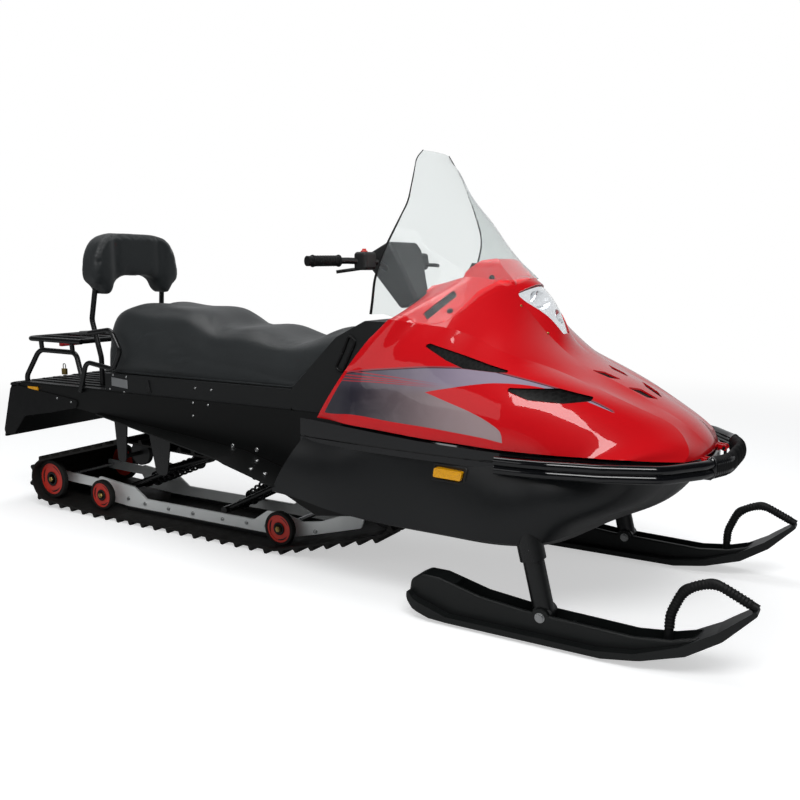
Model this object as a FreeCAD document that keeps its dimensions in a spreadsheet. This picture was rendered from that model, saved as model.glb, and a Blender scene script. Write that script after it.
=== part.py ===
import FreeCAD, Part
import math
import os

# Snowmobile: wide-track utility machine with two skis, lofted hood and belly, and a
# slide-rail suspension inside a lugged track.
# +X forward, +Y to the machine's left, +Z up. Origin on the ground under the middle of the machine.
# All values are millimetres or degrees.

V = FreeCAD.Vector
doc = FreeCAD.newDocument("snowmobile")
sheet = doc.addObject("Spreadsheet::Sheet", "Sizes")

# Driving dimensions
SIZES = {
    # Track and its slide rails
    "track_width": 500, "belt_thickness": 8, "lug_height": 15.5, "lug_count": 56, "lug_base": 26,
    "lug_tip": 11, "flat_rear_x": -1092, "flat_front_x": -111,
    "idler_x": -1402, "idler_z": 128, "idler_radius": 89, "idler_y": 207, "idler_width": 22,
    "bogie_radius": 67.5, "bogie_y": 196, "bogie_width": 24, "wheel_bore_radius": 9,
    "sprocket_x": 330, "sprocket_z": 228, "sprocket_radius": 84,
    "roller_x": -870, "roller_z": 300, "roller_radius": 54,
    "rail_y": 130, "rail_thickness": 9, "rail_bottom": 38, "rail_top": 83, "shoe_width": 26,
    # Tunnel and boards
    "tunnel_width": 560, "sheet_thickness": 4, "tunnel_top": 572, "tunnel_rear_x": -1500,
    "tunnel_front_x": 600, "board_outer_y": 450, "board_thickness": 5,
    # Hood and belly
    "panel_thickness": 5, "hem_height": 545, "rim_top": 538, "rim_height": 44, "rim_depth": 20,
    "hood_half_width": 445, "nose_x": 1421, "nose_drop": 22, "bumper_radius": 14, "bumper_front_x": 1484,
    "hinge_x": 1433, "hinge_z": 515, "hinge_y": 118, "hinge_pin_radius": 5,
    "engine_length": 300, "engine_width": 380, "engine_height": 330,
    # Skis and legs
    "ski_stance": 870, "ski_width": 142, "ski_bolt_x": 1050, "ski_bolt_z": 78, "leg_rake": 14,
    "leg_radius": 31.5, "strut_radius": 39, "strut_low": 236, "strut_high": 345,
    "ski_thickness": 12, "runner_height": 11, "fork_width": 60, "bolt_radius": 9,
    # Steering
    "bar_x": 296, "bar_z": 1096, "bar_radius": 11, "column_tilt": 27, "bar_half_span": 398,
    # Seat and rear
    "seat_half_width": 205, "seat_low": 668, "seat_gap": 0.3, "deck_thickness": 5,
    "pad_half_width": 250, "pad_top": 1236, "pad_low": 962, "pad_thickness": 98, "tube_radius": 11,
    "hitch_bore_radius": 8, "hitch_x": -1535, "hitch_z": 452,
    # Screen
    "screen_thickness": 4, "seam_gap": 1,
}
for row, (name, number) in enumerate(SIZES.items(), start=1):
    sheet.set("A%d" % row, name)
    sheet.set("B%d" % row, str(number))
    sheet.setAlias("B%d" % row, name)
doc.recompute()


def size(name):
    """The number that the sheet holds under this name."""
    return float(sheet.get(name))


# Small geometry helpers

def node(name, shape):
    """A finished sub-part of the document under its own name."""
    part = doc.addObject("Part::Feature", name)
    part.Shape = shape
    part.Label = name
    return part


def bind(part, **formulas):
    """Ties a primitive's sizes and place to formulas over the sheet."""
    for name, formula in formulas.items():
        part.setExpression("Placement.Base." + name if name in "xyz" else name, formula)
    return part


def cross_bar(name, radius, x, z, start, length):
    """A round bar across the machine, its sizes and place tied to the sheet."""
    part = doc.addObject("Part::Cylinder", name)
    part.Placement.Rotation = FreeCAD.Rotation(V(1, 0, 0), -90)
    return bind(part, Radius=radius, Height=length, x=x, y=start, z=z)


def joined(kind, name, parts):
    """One sub-part from primitives: fused where they overlap, gathered where they do not."""
    whole = doc.addObject("Part::" + kind, name)
    whole.Label = name
    setattr(whole, "Shapes" if kind == "MultiFuse" else "Links", parts)
    return whole


def group(shapes):
    """Solids of one sub-part that do not touch each other."""
    return Part.makeCompound(shapes)


def fuse(shapes):
    """One solid from pieces that overlap."""
    return shapes[0].fuse(shapes[1:]).removeSplitter()


def mirrored(shape):
    """The same piece on the other side of the machine."""
    return shape.mirror(V(0, 0, 0), V(0, 1, 0))


def both(shape):
    """A piece and its mirror image."""
    return group([shape, mirrored(shape)])


def box(low, high):
    """A block between two corners."""
    return Part.makeBox(high[0] - low[0], high[1] - low[1], high[2] - low[2], V(*low))


def rod(start, end, radius):
    """A round bar between two points."""
    start = V(*start)
    along = V(*end) - start
    return Part.makeCylinder(radius, along.Length, start, along)


def ring(start, end, radius, bore):
    """A tube between two points."""
    return rod(start, end, radius).cut(rod(start, end, bore))


STRAIGHT = 1e-3


def bent_path(points, bend):
    """Straight runs joined by tangent arcs of about the given radius."""
    points = [V(*p) for p in points]
    edges = []
    last = points[0]
    for before, corner, after in zip(points, points[1:], points[2:]):
        into = (corner - before).normalize()
        out = (after - corner).normalize()
        turn = into.getAngle(out)
        if turn < STRAIGHT:
            continue
        room = 0.47 * min((corner - before).Length, (after - corner).Length)
        trim = min(bend * math.tan(turn / 2), room)
        start = corner - into * trim
        end = corner + out * trim
        inward = (out - into).normalize()
        radius = trim / math.tan(turn / 2)
        middle = corner + inward * (radius / math.cos(turn / 2) - radius)
        edges.append(Part.LineSegment(last, start).toShape())
        edges.append(Part.Arc(start, middle, end).toShape())
        last = end
    edges.append(Part.LineSegment(last, points[-1]).toShape())
    return Part.Wire(edges)


def bent_bar(points, bend, radius):
    """A round bar that follows a bent path."""
    path = bent_path(points, bend)
    start = V(*points[0])
    along = V(*points[1]) - start
    profile = Part.Wire([Part.makeCircle(radius, start, along)])
    return path.makePipeShell([profile], True, False)


def outline(points, bend=0):
    """A closed flat outline with its corners rounded."""
    points = [V(*p) for p in points]
    count = len(points)
    if not bend:
        return Part.makePolygon(points + [points[0]])
    edges = []
    ends = []
    for i, corner in enumerate(points):
        before = points[i - 1]
        after = points[(i + 1) % count]
        into = (corner - before).normalize()
        out = (after - corner).normalize()
        turn = into.getAngle(out)
        room = 0.47 * min((corner - before).Length, (after - corner).Length)
        trim = min(bend * math.tan(turn / 2), room)
        radius = trim / math.tan(turn / 2)
        inward = (out - into).normalize()
        middle = corner + inward * (radius / math.cos(turn / 2) - radius)
        ends.append((corner - into * trim, middle, corner + out * trim))
    for i, (start, middle, end) in enumerate(ends):
        edges.append(Part.Arc(start, middle, end).toShape())
        following = ends[(i + 1) % count][0]
        edges.append(Part.LineSegment(end, following).toShape())
    return Part.Wire(edges)


def side_plate(profile, y_low, y_high, bend=0):
    """A plate cut from an outline in the XZ plane."""
    wire = outline([(x, y_low, z) for x, z in profile], bend)
    return Part.Face(wire).extrude(V(0, y_high - y_low, 0))


def top_plate(profile, z_low, z_high, bend=0):
    """A plate cut from an outline in the XY plane."""
    wire = outline([(x, y, z_low) for x, y in profile], bend)
    return Part.Face(wire).extrude(V(0, 0, z_high - z_low))


def wheel(x, y, z, radius, width):
    """A disc on a cross axle, centred at the point."""
    return Part.makeCylinder(radius, width, V(x, y - width / 2, z), V(0, 1, 0))


def between(points, x):
    """Straight interpolation in a short list of (x, value) points."""
    if x <= points[0][0]:
        return points[0][1]
    for (x0, v0), (x1, v1) in zip(points, points[1:]):
        if x <= x1:
            return v0 + (v1 - v0) * (x - x0) / (x1 - x0)
    return points[-1][1]


def smooth(points):
    """A smooth curve through points."""
    curve = Part.BSplineCurve()
    curve.interpolate([V(*p) for p in points])
    return curve


def guide_point(curve, origin, normal):
    """Where a guide curve crosses a section plane."""
    steps = 240
    first = curve.FirstParameter
    span = curve.LastParameter - first
    previous = None
    for i in range(steps + 1):
        point = curve.value(first + span * i / steps)
        height = (point - origin).dot(normal)
        if previous and previous[1] < 0 <= height:
            share = previous[1] / (previous[1] - height)
            return previous[0] + (point - previous[0]) * share
        previous = (point, height)
    return previous[0] if previous[1] < 0 else curve.value(first)


def inset(points, normal, amount):
    """Section points moved inwards in their own plane."""
    moved = []
    for i, point in enumerate(points):
        before = points[max(i - 1, 0)]
        after = points[min(i + 1, len(points) - 1)]
        along = (after - before).normalize()
        moved.append(point + normal.cross(along).normalize() * amount)
    return moved


# Track

LUG_TOTAL = size("belt_thickness") + size("lug_height")


def belt_path():
    """The belt's inner line: wheels as (x, z, radius), counter-clockwise seen from the right."""
    radius = size("bogie_radius")
    bogie_z = LUG_TOTAL + radius
    return [
        (size("flat_rear_x"), bogie_z, radius),
        (size("flat_front_x"), bogie_z, radius),
        (size("sprocket_x"), size("sprocket_z"), size("sprocket_radius")),
        (size("roller_x"), size("roller_z"), size("roller_radius")),
        (size("idler_x"), size("idler_z"), size("idler_radius")),
    ]


def belt_runs(extra):
    """Straight runs and arcs of the loop at a height above its inner line."""
    circles = belt_path()
    runs = []
    count = len(circles)
    for i in range(count):
        x0, z0, r0 = circles[i]
        x1, z1, r1 = circles[(i + 1) % count]
        distance = math.hypot(x1 - x0, z1 - z0)
        heading = math.atan2(z1 - z0, x1 - x0)
        lean = math.asin((r1 - r0) / distance)
        out = heading - math.pi / 2 - lean
        away = (math.cos(out), math.sin(out))
        start = (x0 + away[0] * (r0 + extra), z0 + away[1] * (r0 + extra))
        end = (x1 + away[0] * (r1 + extra), z1 + away[1] * (r1 + extra))
        runs.append((start, end, out))
    return runs, circles


def loop_wire(extra, y):
    """The closed line of the loop in an XZ plane."""
    runs, circles = belt_runs(extra)
    edges = []
    for i, (start, end, out) in enumerate(runs):
        edges.append(Part.LineSegment(V(start[0], y, start[1]), V(end[0], y, end[1])).toShape())
        x, z, radius = circles[(i + 1) % len(circles)]
        following = runs[(i + 1) % len(runs)]
        turn = (following[2] - out) % (2 * math.pi)
        middle = out + turn / 2
        reach = radius + extra
        edges.append(Part.Arc(
            V(end[0], y, end[1]),
            V(x + reach * math.cos(middle), y, z + reach * math.sin(middle)),
            V(following[0][0], y, following[0][1])).toShape())
    return Part.Wire(edges)


def make_track():
    """One closed belt with trapezoid lugs in three rows across."""
    half = size("track_width") / 2
    outer = Part.Face(loop_wire(size("belt_thickness"), -half))
    inner = Part.Face(loop_wire(0, -half))
    belt = outer.cut(inner).extrude(V(0, 2 * half, 0))
    line = loop_wire(size("belt_thickness") - 1, 0)
    count = int(size("lug_count"))
    points = line.discretize(Number=count + 1)[:-1]
    step = line.Length / count
    lugs = []
    rows = ((-half, -half * 0.36), (-half * 0.30, half * 0.30), (half * 0.36, half))
    base = size("lug_base") / 2
    tip = size("lug_tip") / 2
    height = size("lug_height") + 1
    for point in points:
        edge = min(line.Edges, key=lambda e: e.distToShape(Part.Vertex(point))[0])
        along = edge.tangentAt(edge.Curve.parameter(point)).normalize()
        outward = V(along.z, 0, -along.x)
        for y_low, y_high in rows:
            corners = [point - along * base, point + along * base,
                       point + along * tip + outward * height,
                       point - along * tip + outward * height]
            corners = [V(c.x, y_low, c.z) for c in corners]
            face = Part.Face(Part.makePolygon(corners + [corners[0]]))
            lugs.append(face.extrude(V(0, y_high - y_low, 0)))
    print("track loop", round(loop_wire(0, 0).Length), "lug step", round(step, 1))
    return belt.fuse(lugs)


node("track_loop", make_track())


def ramp_z(x):
    """Height of the belt's inner face on the front ramp."""
    (x0, z0), (x1, z1), _ = belt_runs(0)[0][1]
    return z0 + (z1 - z0) * (x - x0) / (x1 - x0)


# Track wheels: red discs in rubber rings on cross axles

def wheel_places():
    """(x, y, z, radius, width) of each small wheel in the track."""
    places = []
    for side in (-1, 1):
        places.append((size("idler_x"), side * size("idler_y"), size("idler_z"),
                       size("idler_radius"), size("idler_width")))
        for x in (size("flat_rear_x"), size("flat_front_x")):
            places.append((x, side * size("bogie_y"), LUG_TOTAL + size("bogie_radius"),
                           size("bogie_radius"), size("bogie_width")))
    return places


WHEEL_GAP = 0.5
RING_SHARE = 0.8


def wheel_disc(x, y, z, radius, width):
    """A moulded disc with a dished face, a hub and a bore."""
    rim = radius * RING_SHARE
    bore = size("wheel_bore_radius")
    side = 1 if y > 0 else -1
    disc = wheel(x, y, z, rim, width * 0.8)
    dish = wheel(x, y + side * width * 0.4, z, rim * 0.86, width * 0.24)
    dish = dish.cut(wheel(x, y + side * width * 0.4, z, rim * 0.42, width * 0.24))
    return disc.cut(dish).cut(wheel(x, y, z, bore, width))


def wheel_ring(x, y, z, radius, width):
    """The rubber ring on a disc, a little clear of the belt."""
    outer = wheel(x, y, z, radius - WHEEL_GAP, width)
    outer = outer.makeFillet(width * 0.18, outer.Edges[:1] + outer.Edges[2:3])
    return outer.cut(wheel(x, y, z, radius * RING_SHARE, width))


node("wheel_discs", group([wheel_disc(*p) for p in wheel_places()]))
node("wheel_rings", group([wheel_ring(*p) for p in wheel_places()]))


# Cross axles of the rear idlers and both bogie pairs
AXLE = "Sizes.wheel_bore_radius - 0.1"
axles = [cross_bar("idler_axle", AXLE, "Sizes.idler_x", "Sizes.idler_z",
                   "-(Sizes.idler_y + Sizes.idler_width / 2 + 6)", "2 * Sizes.idler_y + Sizes.idler_width + 12")]
for name, place in (("rear_bogie_axle", "Sizes.flat_rear_x"), ("front_bogie_axle", "Sizes.flat_front_x")):
    axles.append(cross_bar(name, AXLE, place, "Sizes.lug_height + Sizes.belt_thickness + Sizes.bogie_radius",
                           "-(Sizes.bogie_y + Sizes.bogie_width / 2 + 6)",
                           "2 * Sizes.bogie_y + Sizes.bogie_width + 12"))
joined("Compound", "wheel_axles", axles)


# Slide rails: bent aluminium plates with low-friction shoes under them

def make_rails():
    """Left and right rail, bored for the axles that they carry."""
    low = size("rail_bottom")
    top = size("rail_top")
    front = size("flat_front_x")
    rear = size("flat_rear_x")
    profile = [
        (rear - 110, 118), (rear - 60, low + 10), (rear + 90, low), (front, low),
        (front + 120, ramp_z(front + 120) + 14), (front + 330, ramp_z(front + 330) + 14),
        (front + 352, 184), (front + 300, 184),
        (front + 150, 124), (front + 60, 108), (front - 20, 128), (front - 110, 130),
        (front - 180, top), (rear + 200, top), (rear + 130, 128), (rear + 40, 136),
        (rear - 90, 150),
    ]
    half = size("rail_thickness") / 2
    y = size("rail_y")
    plate = side_plate(profile, y - half, y + half, 14)
    for x, _, z, _, _ in wheel_places():
        plate = plate.cut(wheel(x, y, z, size("wheel_bore_radius"), 40))
    tail = [(size("idler_x") - 30, size("idler_z") + 24), (size("idler_x") - 30, 106),
            (rear - 84, 100), (rear - 84, 140)]
    arm = side_plate(tail, y + half, y + half + 6, 10)
    arm = arm.cut(wheel(size("idler_x"), y, size("idler_z"), size("wheel_bore_radius"), 60))
    return both(group([plate, arm]))


node("slide_rails", make_rails())


# Plastic shoes that run on the belt
shoes = []
for name, middle in (("shoe_right", "-Sizes.rail_y"), ("shoe_left", "Sizes.rail_y")):
    shoes.append(bind(doc.addObject("Part::Box", name), Width="Sizes.shoe_width",
                      Length="Sizes.flat_front_x - Sizes.flat_rear_x - 96",
                      Height="Sizes.rail_bottom - Sizes.lug_height - Sizes.belt_thickness - 0.3",
                      x="Sizes.flat_rear_x + 92", y=middle + " - Sizes.shoe_width / 2",
                      z="Sizes.lug_height + Sizes.belt_thickness + 0.3"))
joined("Compound", "slide_shoes", shoes)


# Suspension arms, shocks and springs

def arm_frame(low, high, half_span, radius, pivot_span):
    """Two side bars and two cross tubes."""
    bars = [rod((low[0], -half_span, low[1]), (low[0], half_span, low[1]), radius + 3),
            rod((high[0], -pivot_span, high[1]), (high[0], pivot_span, high[1]), radius + 3)]
    for y in (-half_span + 2 * radius, half_span - 2 * radius):
        bars.append(rod((low[0], y, low[1]), (high[0], y, high[1]), radius))
    return fuse(bars)


RAIL_INNER = size("rail_y") - size("rail_thickness") / 2
ARM_SPAN = size("tunnel_width") / 2 - size("sheet_thickness")
BRACKET_THICKNESS = 6
FRONT_PIVOT = (-70, 288)
REAR_PIVOT = (-640, 272)
UPPER_MOUNT = (-165, 306)
MOUNT_RADIUS = 15
node("swing_arms", group([
    arm_frame((-457, 94), FRONT_PIVOT, RAIL_INNER - 0.3, 12, ARM_SPAN - 0.3),
    arm_frame((-1020, 116), REAR_PIVOT, RAIL_INNER - 0.3, 12, ARM_SPAN - BRACKET_THICKNESS - 0.6)]))


def make_brackets():
    """Plates that hang from the tunnel sides and hold the rear arm and the upper rollers."""
    y = ARM_SPAN - BRACKET_THICKNESS - 0.3
    arm = side_plate([(REAR_PIVOT[0] - 34, 250), (REAR_PIVOT[0] + 24, 250), (REAR_PIVOT[0] + 60, 470),
                      (REAR_PIVOT[0] - 80, 470)], y, y + BRACKET_THICKNESS, 22)
    roller_x = size("roller_x")
    roller_z = size("roller_z")
    hanger = side_plate([(roller_x - 22, roller_z - 20), (roller_x + 22, roller_z - 20),
                         (roller_x + 40, 490), (roller_x - 40, 490)], y, y + BRACKET_THICKNESS, 18)
    reach = ARM_SPAN - size("seat_gap")
    cross = rod((UPPER_MOUNT[0], -reach, UPPER_MOUNT[1]), (UPPER_MOUNT[0], reach, UPPER_MOUNT[1]),
                MOUNT_RADIUS)
    return group([arm, hanger, mirrored(arm), mirrored(hanger), cross])


node("suspension_brackets", make_brackets())


SPRING_RADIUS = 27
SPRING_WIRE = 5


def shock(low, high):
    """Damper with an eye round each cross tube and a collar at each end of its spring."""
    start = V(low[0], 0, low[1])
    axis = V(high[0], 0, high[1]) - start
    unit = V(axis).normalize()
    along = [start + axis * share for share in (0, 0.55, 1)]
    bars = [rod(along[0], along[1], 17), rod(along[1], along[2], 8)]
    bars += [wheel(x, 0, z, MOUNT_RADIUS + 7, 26) for x, z in (low, high)]
    for share, side in ((0.16, 1), (0.84, -1)):
        centre = start + axis * share
        bars.append(rod(centre, centre - unit * 4 * side, SPRING_RADIUS + SPRING_WIRE + 1))
    body = fuse(bars)
    for x, z in (low, high):
        body = body.cut(wheel(x, 0, z, MOUNT_RADIUS + size("seat_gap"), 44))
    return body


def spring(low, high, turns):
    """A coil spring between the collars of its damper."""
    start = V(low[0], 0, low[1])
    axis = V(high[0], 0, high[1]) - start
    margin = SPRING_WIRE + size("seat_gap")
    length = axis.Length * 0.68 - 2 * margin
    helix = Part.makeHelix(length / turns, length, SPRING_RADIUS)
    profile = Part.Wire([Part.makeCircle(SPRING_WIRE, V(SPRING_RADIUS, 0, 0), V(0, 1, 0))])
    coil = Part.Wire(helix.Edges).makePipeShell([profile], True, True)
    unit = V(axis).normalize()
    coil.Placement = FreeCAD.Placement(start + axis * 0.16 + unit * margin,
                                       FreeCAD.Rotation(V(0, 0, 1), axis))
    return coil


SHOCKS = (((-1020, 116), REAR_PIVOT), ((-457, 94), UPPER_MOUNT))
node("shocks", group([shock(*pair) for pair in SHOCKS]))
node("springs", group([spring(*pair, 8) for pair in SHOCKS]))


# Two upper rollers and their cross axle
ROLLER = {"x": "Sizes.roller_x", "z": "Sizes.roller_z"}
rollers = [cross_bar("roller_right", "Sizes.roller_radius - 0.5", start="-176", length="22", **ROLLER),
           cross_bar("roller_left", "Sizes.roller_radius - 0.5", start="154", length="22", **ROLLER),
           cross_bar("roller_axle", "9", start="Sizes.sheet_thickness - Sizes.tunnel_width / 2 + 6.6",
                     length="Sizes.tunnel_width - 2 * Sizes.sheet_thickness - 13.2", **ROLLER)]
joined("MultiFuse", "carrier_rollers", rollers)


# Drive axle with two sprocket drums inside the track
DRUM = "Sizes.sprocket_radius - 0.5"
SPROCKET = {"x": "Sizes.sprocket_x", "z": "Sizes.sprocket_z"}
drums = [cross_bar("drum_right", DRUM, start="-140", length="60", **SPROCKET),
         cross_bar("drum_left", DRUM, start="80", length="60", **SPROCKET),
         cross_bar("drive_shaft", "16", start="Sizes.sheet_thickness - Sizes.tunnel_width / 2 + 0.3",
                   length="Sizes.tunnel_width - 2 * Sizes.sheet_thickness - 0.6", **SPROCKET)]
joined("MultiFuse", "drive_axle", drums)


# Tunnel: folded sheet over the track

def make_tunnel():
    """Top sheet and side walls, with a lower edge that drops towards the front."""
    half = size("tunnel_width") / 2
    sheet_t = size("sheet_thickness")
    rear = size("tunnel_rear_x")
    front = size("tunnel_front_x")
    top = size("tunnel_top")
    side = [(rear, top), (rear, 520), (-1080, 480), (-700, 432), (-440, 398), (-239, 338),
            (-64, 274), (120, 196), (front - 60, 252), (front, 330), (front, top)]
    body = side_plate(side, -half, half)
    inside = side_plate([(rear - 1, top - sheet_t), (rear - 1, 0), (front - sheet_t, 0),
                         (front - sheet_t, top - sheet_t)], -half + sheet_t, half - sheet_t)
    return body.cut(inside)


node("tunnel", make_tunnel())


def make_boards():
    """Footboards that widen forward from the tunnel's lower edge."""
    inner = size("tunnel_width") / 2 + 0.3
    outer = size("board_outer_y")
    thick = size("board_thickness")
    lower = [(-1000, 470), (-500, 424), (-200, 396), (60, 330)]
    profile = lower + [(x, z + thick) for x, z in reversed(lower)]
    body = side_plate(profile, inner, outer)
    plan = top_plate([(-1001, inner - 1), (-1001, inner + 12), (-160, outer), (70, outer),
                      (70, inner - 1)], 200, 600, 30)
    return body.common(plan)


# Hood and belly: lofted through sections of guide curves

HEM_WIDTHS = [(150, 395), (220, 405), (450, 432), (700, 444), (900, 445), (1050, 420), (1127, 395),
              (1190, 384), (1240, 370)]
NOSE_START = 1240


def nose_fall(x):
    """How far the seam between hood and belly has dropped where the nose curves round."""
    return size("nose_drop") * max(0, x - NOSE_START) / (size("nose_x") - NOSE_START)


HEM_RISE = [(200, 38), (620, 15), (1000, 3), (1150, 0)]


def hem_height(x):
    """Height of the hood's lower edge, which rises a little to the rear."""
    return size("hem_height") + between(HEM_RISE, x) - nose_fall(x)


def hem_width(x):
    """Half width of the hood at its lower edge."""
    return between(HEM_WIDTHS, x) + size("hood_half_width") - 445


def hood_guides():
    """Crown, pod corner, flank, crease and side lines, each from the rear to the nose arc."""
    nose = size("nose_x")
    crown = [(470, 0, 972), (560, 0, 990), (620, 0, 1003), (690, 0, 1024), (770, 0, 1052), (830, 0, 1036),
             (882, 0, 985), (930, 0, 895), (968, 0, 824), (1012, 0, 786), (1092, 0, 751), (1226, 0, 687),
             (1330, 0, 630), (1394, 0, 580), (nose - 6, 0, 552)]
    corner = [(500, 185, 1005), (566, 180, 1030), (646, 178, 1046), (720, 164, 1044),
              (800, 124, 1000), (873, 104, 912), (950, 84, 830), (1010, 82, 784), (1070, 84, 757),
              (1200, 84, 695), (1320, 78, 630), (1386, 72, 580), (nose - 11, 68, 550)]
    flank = [(450, 290, 925), (560, 282, 968), (700, 256, 962), (850, 212, 892), (980, 166, 796),
             (1100, 142, 732), (1240, 124, 668), (1340, 108, 613), (nose - 20, 120, 550)]
    crease = [(380, 362, 860), (452, 358, 911), (560, 350, 906), (700, 330, 888), (820, 322, 842),
              (900, 307, 810), (950, 262, 790), (1000, 230, 769), (1050, 213, 746), (1150, 203, 705),
              (1250, 172, 658), (1330, 148, 615), (nose - 36, 190, 556)]
    side = [(250, 416, 700), (335, 414, 742), (700, 424, 726), (935, 404, 716), (1040, 368, 695),
            (1150, 330, 650), (1250, 292, 600), (nose - 84, 262, 560)]
    ends = ((92, 290), (40, 232), (16, 160), (6, 84), (1, 0))
    for line, (back, y) in zip((side, crease, flank, corner, crown), ends):
        line.append((nose - back, y, hem_height(nose - back)))
    return [smooth(line) for line in (side, crease, flank, corner, crown)]


HOOD_PLANES = [(220, 0.72), (320, 0.68), (430, 0.64), (560, 0.54), (690, 0.42), (800, 0.32), (900, 0.22),
               (990, 0.18), (1070, 0.35), (1140, 0.75), (1190, 1.5), (1218, 3.2), (1232, 9)]


def fan_points(guides, x, z, width, slope, down):
    """Half-section points from the edge to the middle on a plane through the edge point."""
    sign = -1 if down else 1
    origin = V(x, 0, z)
    if slope is None:
        points = [curve.value(curve.LastParameter) for curve in guides]
        up = V(points[-1].x - x, 0, points[-1].z - z).normalize()
        normal = V(sign * up.z, 0, -sign * up.x)
    else:
        up = V(slope, 0, sign).normalize()
        normal = V(abs(up.z), 0, -sign * up.x * 1.0).normalize()
        points = [guide_point(curve, origin, normal) for curve in guides]
    return [V(x, width, z)] + points, normal, up


def section_wire(half, up, drop, pairs):
    """A closed section: the half points, their mirror and a chord across."""
    far = [V(p.x, -p.y, p.z) for p in reversed(half[:-1])]
    points = half + far
    edges = []
    i = 0
    for step in pairs:
        stretch = points[i:i + step + 1]
        if step == 1:
            edges.append(Part.LineSegment(stretch[0], stretch[1]).toShape())
        else:
            edges.append(smooth(stretch).toShape())
        i += step
    start = points[0] - up * drop
    end = points[-1] - up * drop
    if drop:
        edges.insert(0, Part.LineSegment(start, points[0]).toShape())
        edges.append(Part.LineSegment(points[-1], end).toShape())
    edges.append(Part.LineSegment(end, start).toShape())
    return Part.Wire(edges)


def hood_sections(amount, drop):
    """Closed sections of the hood, moved inwards by an amount."""
    guides = hood_guides()
    wires = []
    planes = HOOD_PLANES + [(NOSE_START, None)]
    for x, slope in planes:
        half, normal, up = fan_points(guides, x, hem_height(x), hem_width(x), slope, False)
        if amount:
            mirror_half = half + [V(p.x, -p.y, p.z) for p in reversed(half[:-1])]
            half = inset(mirror_half, normal, amount)[:len(half)]
            half[-1] = V(half[-1].x, 0, half[-1].z)
        wires.append(section_wire(half, up, drop, (2, 2, 2, 2, 2)))
    return wires


def skin(wires):
    """A smooth solid through closed sections."""
    return Part.makeLoft(wires, True, False, False, 3)


HOOD_FORM = skin(hood_sections(0, 0))


def hood_skin(amount):
    """The hood's form moved inwards by an amount."""
    wires = hood_sections(amount, 12)
    wires[0].translate(V(-4 - amount / 2, 0, 3 + amount / 3))
    wires[-1].translate(V(0, 0, -2 - amount / 4))
    return skin(wires)


# Openings: air slots as side-view or plan outlines, and the lamp's window on the pod's slope

UPPER_VENT = [(613, 839), (632, 847), (910, 771), (860, 770), (752, 777), (694, 798)]
LOWER_VENT = [(878, 731), (1037, 729), (1153, 695), (1059, 689), (967, 698)]
FLANK_SLOT = [(574, 934), (594, 914), (660, 990), (640, 1008)]
NOSE_VENTS = ([(1052, 90), (1084, 42), (1142, 38), (1112, 80)],
              [(1166, 86), (1198, 28), (1256, 18), (1228, 68)])
LAMP_TOP = (812, 1000)
LAMP_SLOPE = math.radians(52)
LAMP_HEIGHT = 186


def side_slot(profile, grow=0):
    """A prism through the right flank, its outline widened from its centre."""
    cx = sum(x for x, _ in profile) / len(profile)
    cz = sum(z for _, z in profile) / len(profile)
    wide = []
    for x, z in profile:
        reach = math.hypot(x - cx, z - cz)
        wide.append((x + grow * (x - cx) / reach, z + grow * (z - cz) / reach))
    return side_plate(wide, -470, -190, 6)


def nose_slot(profile, grow=0):
    """A prism down through the nose's top."""
    cx = sum(x for x, _ in profile) / len(profile)
    cy = sum(y for _, y in profile) / len(profile)
    wide = []
    for x, y in profile:
        reach = math.hypot(x - cx, y - cy)
        wide.append((x + grow * (x - cx) / reach, y + grow * (y - cy) / reach))
    return top_plate(wide, 620, 820, 6)


def lamp_window(grow, depth_out, depth_in):
    """A prism through the pod's sloping front, wide above and narrow below."""
    down = V(math.cos(LAMP_SLOPE), 0, -math.sin(LAMP_SLOPE))
    out = V(math.sin(LAMP_SLOPE), 0, math.cos(LAMP_SLOPE))
    top = V(LAMP_TOP[0], 0, LAMP_TOP[1]) - out * depth_in
    corners = [(-118 - grow, -grow), (118 + grow, -grow), (104 + grow, 40), (30 + grow, LAMP_HEIGHT + grow),
               (-30 - grow, LAMP_HEIGHT + grow), (-104 - grow, 40)]
    points = [top + down * along + V(0, across, 0) for across, along in corners]
    face = Part.Face(outline([tuple(p) for p in points], 12))
    return face.extrude(out * (depth_out + depth_in))


def vent_prisms(grow):
    """All air slots of both sides."""
    right = [side_slot(UPPER_VENT, grow), side_slot(LOWER_VENT, grow), side_slot(FLANK_SLOT, grow)]
    left = [nose_slot(profile, grow) for profile in NOSE_VENTS]
    return right + left + [mirrored(p) for p in right + left]


HOOD_INSIDE = hood_skin(size("panel_thickness"))


def hinge_ears():
    """Eyes in front of the hem that turn on the hinge pins, each on a tab inside the skin."""
    x = size("hinge_x")
    z = size("hinge_z")
    bore = size("hinge_pin_radius") + 0.3
    ears = []
    for y in (size("hinge_y") - 14, size("hinge_y") + 14):
        tab = side_plate([(x - 36, z + 40), (x - 36, z + 12), (x - 20, z + 5), (x - 10, z + 40)],
                         y - 3, y + 3).common(HOOD_FORM)
        strip = side_plate([(x - 33, z + 13), (x - 24, z + 4.5), (x - 6, z - 8), (x, z + 9), (x - 10, z + 10)],
                           y - 3, y + 3)
        eye = wheel(x, y, z, bore + 4.5, 6)
        ears.append(fuse([tab, strip, eye]).cut(wheel(x, y, z, bore, 10)))
    return ears + [mirrored(ear) for ear in ears]


def make_hood():
    """Outer form less its inside, open below and behind, with its air slots and lamp window."""
    shell = HOOD_FORM.cut(HOOD_INSIDE)
    shell = shell.cut(vent_prisms(0) + [lamp_window(0, 90, 60)])
    shell = shell.fuse(hinge_ears())
    print("hood", HOOD_FORM.isValid(), HOOD_INSIDE.isValid(), shell.isValid(),
          [round(piece.Volume) for piece in shell.Solids])
    return shell


node("hood_shell", make_hood())


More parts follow.
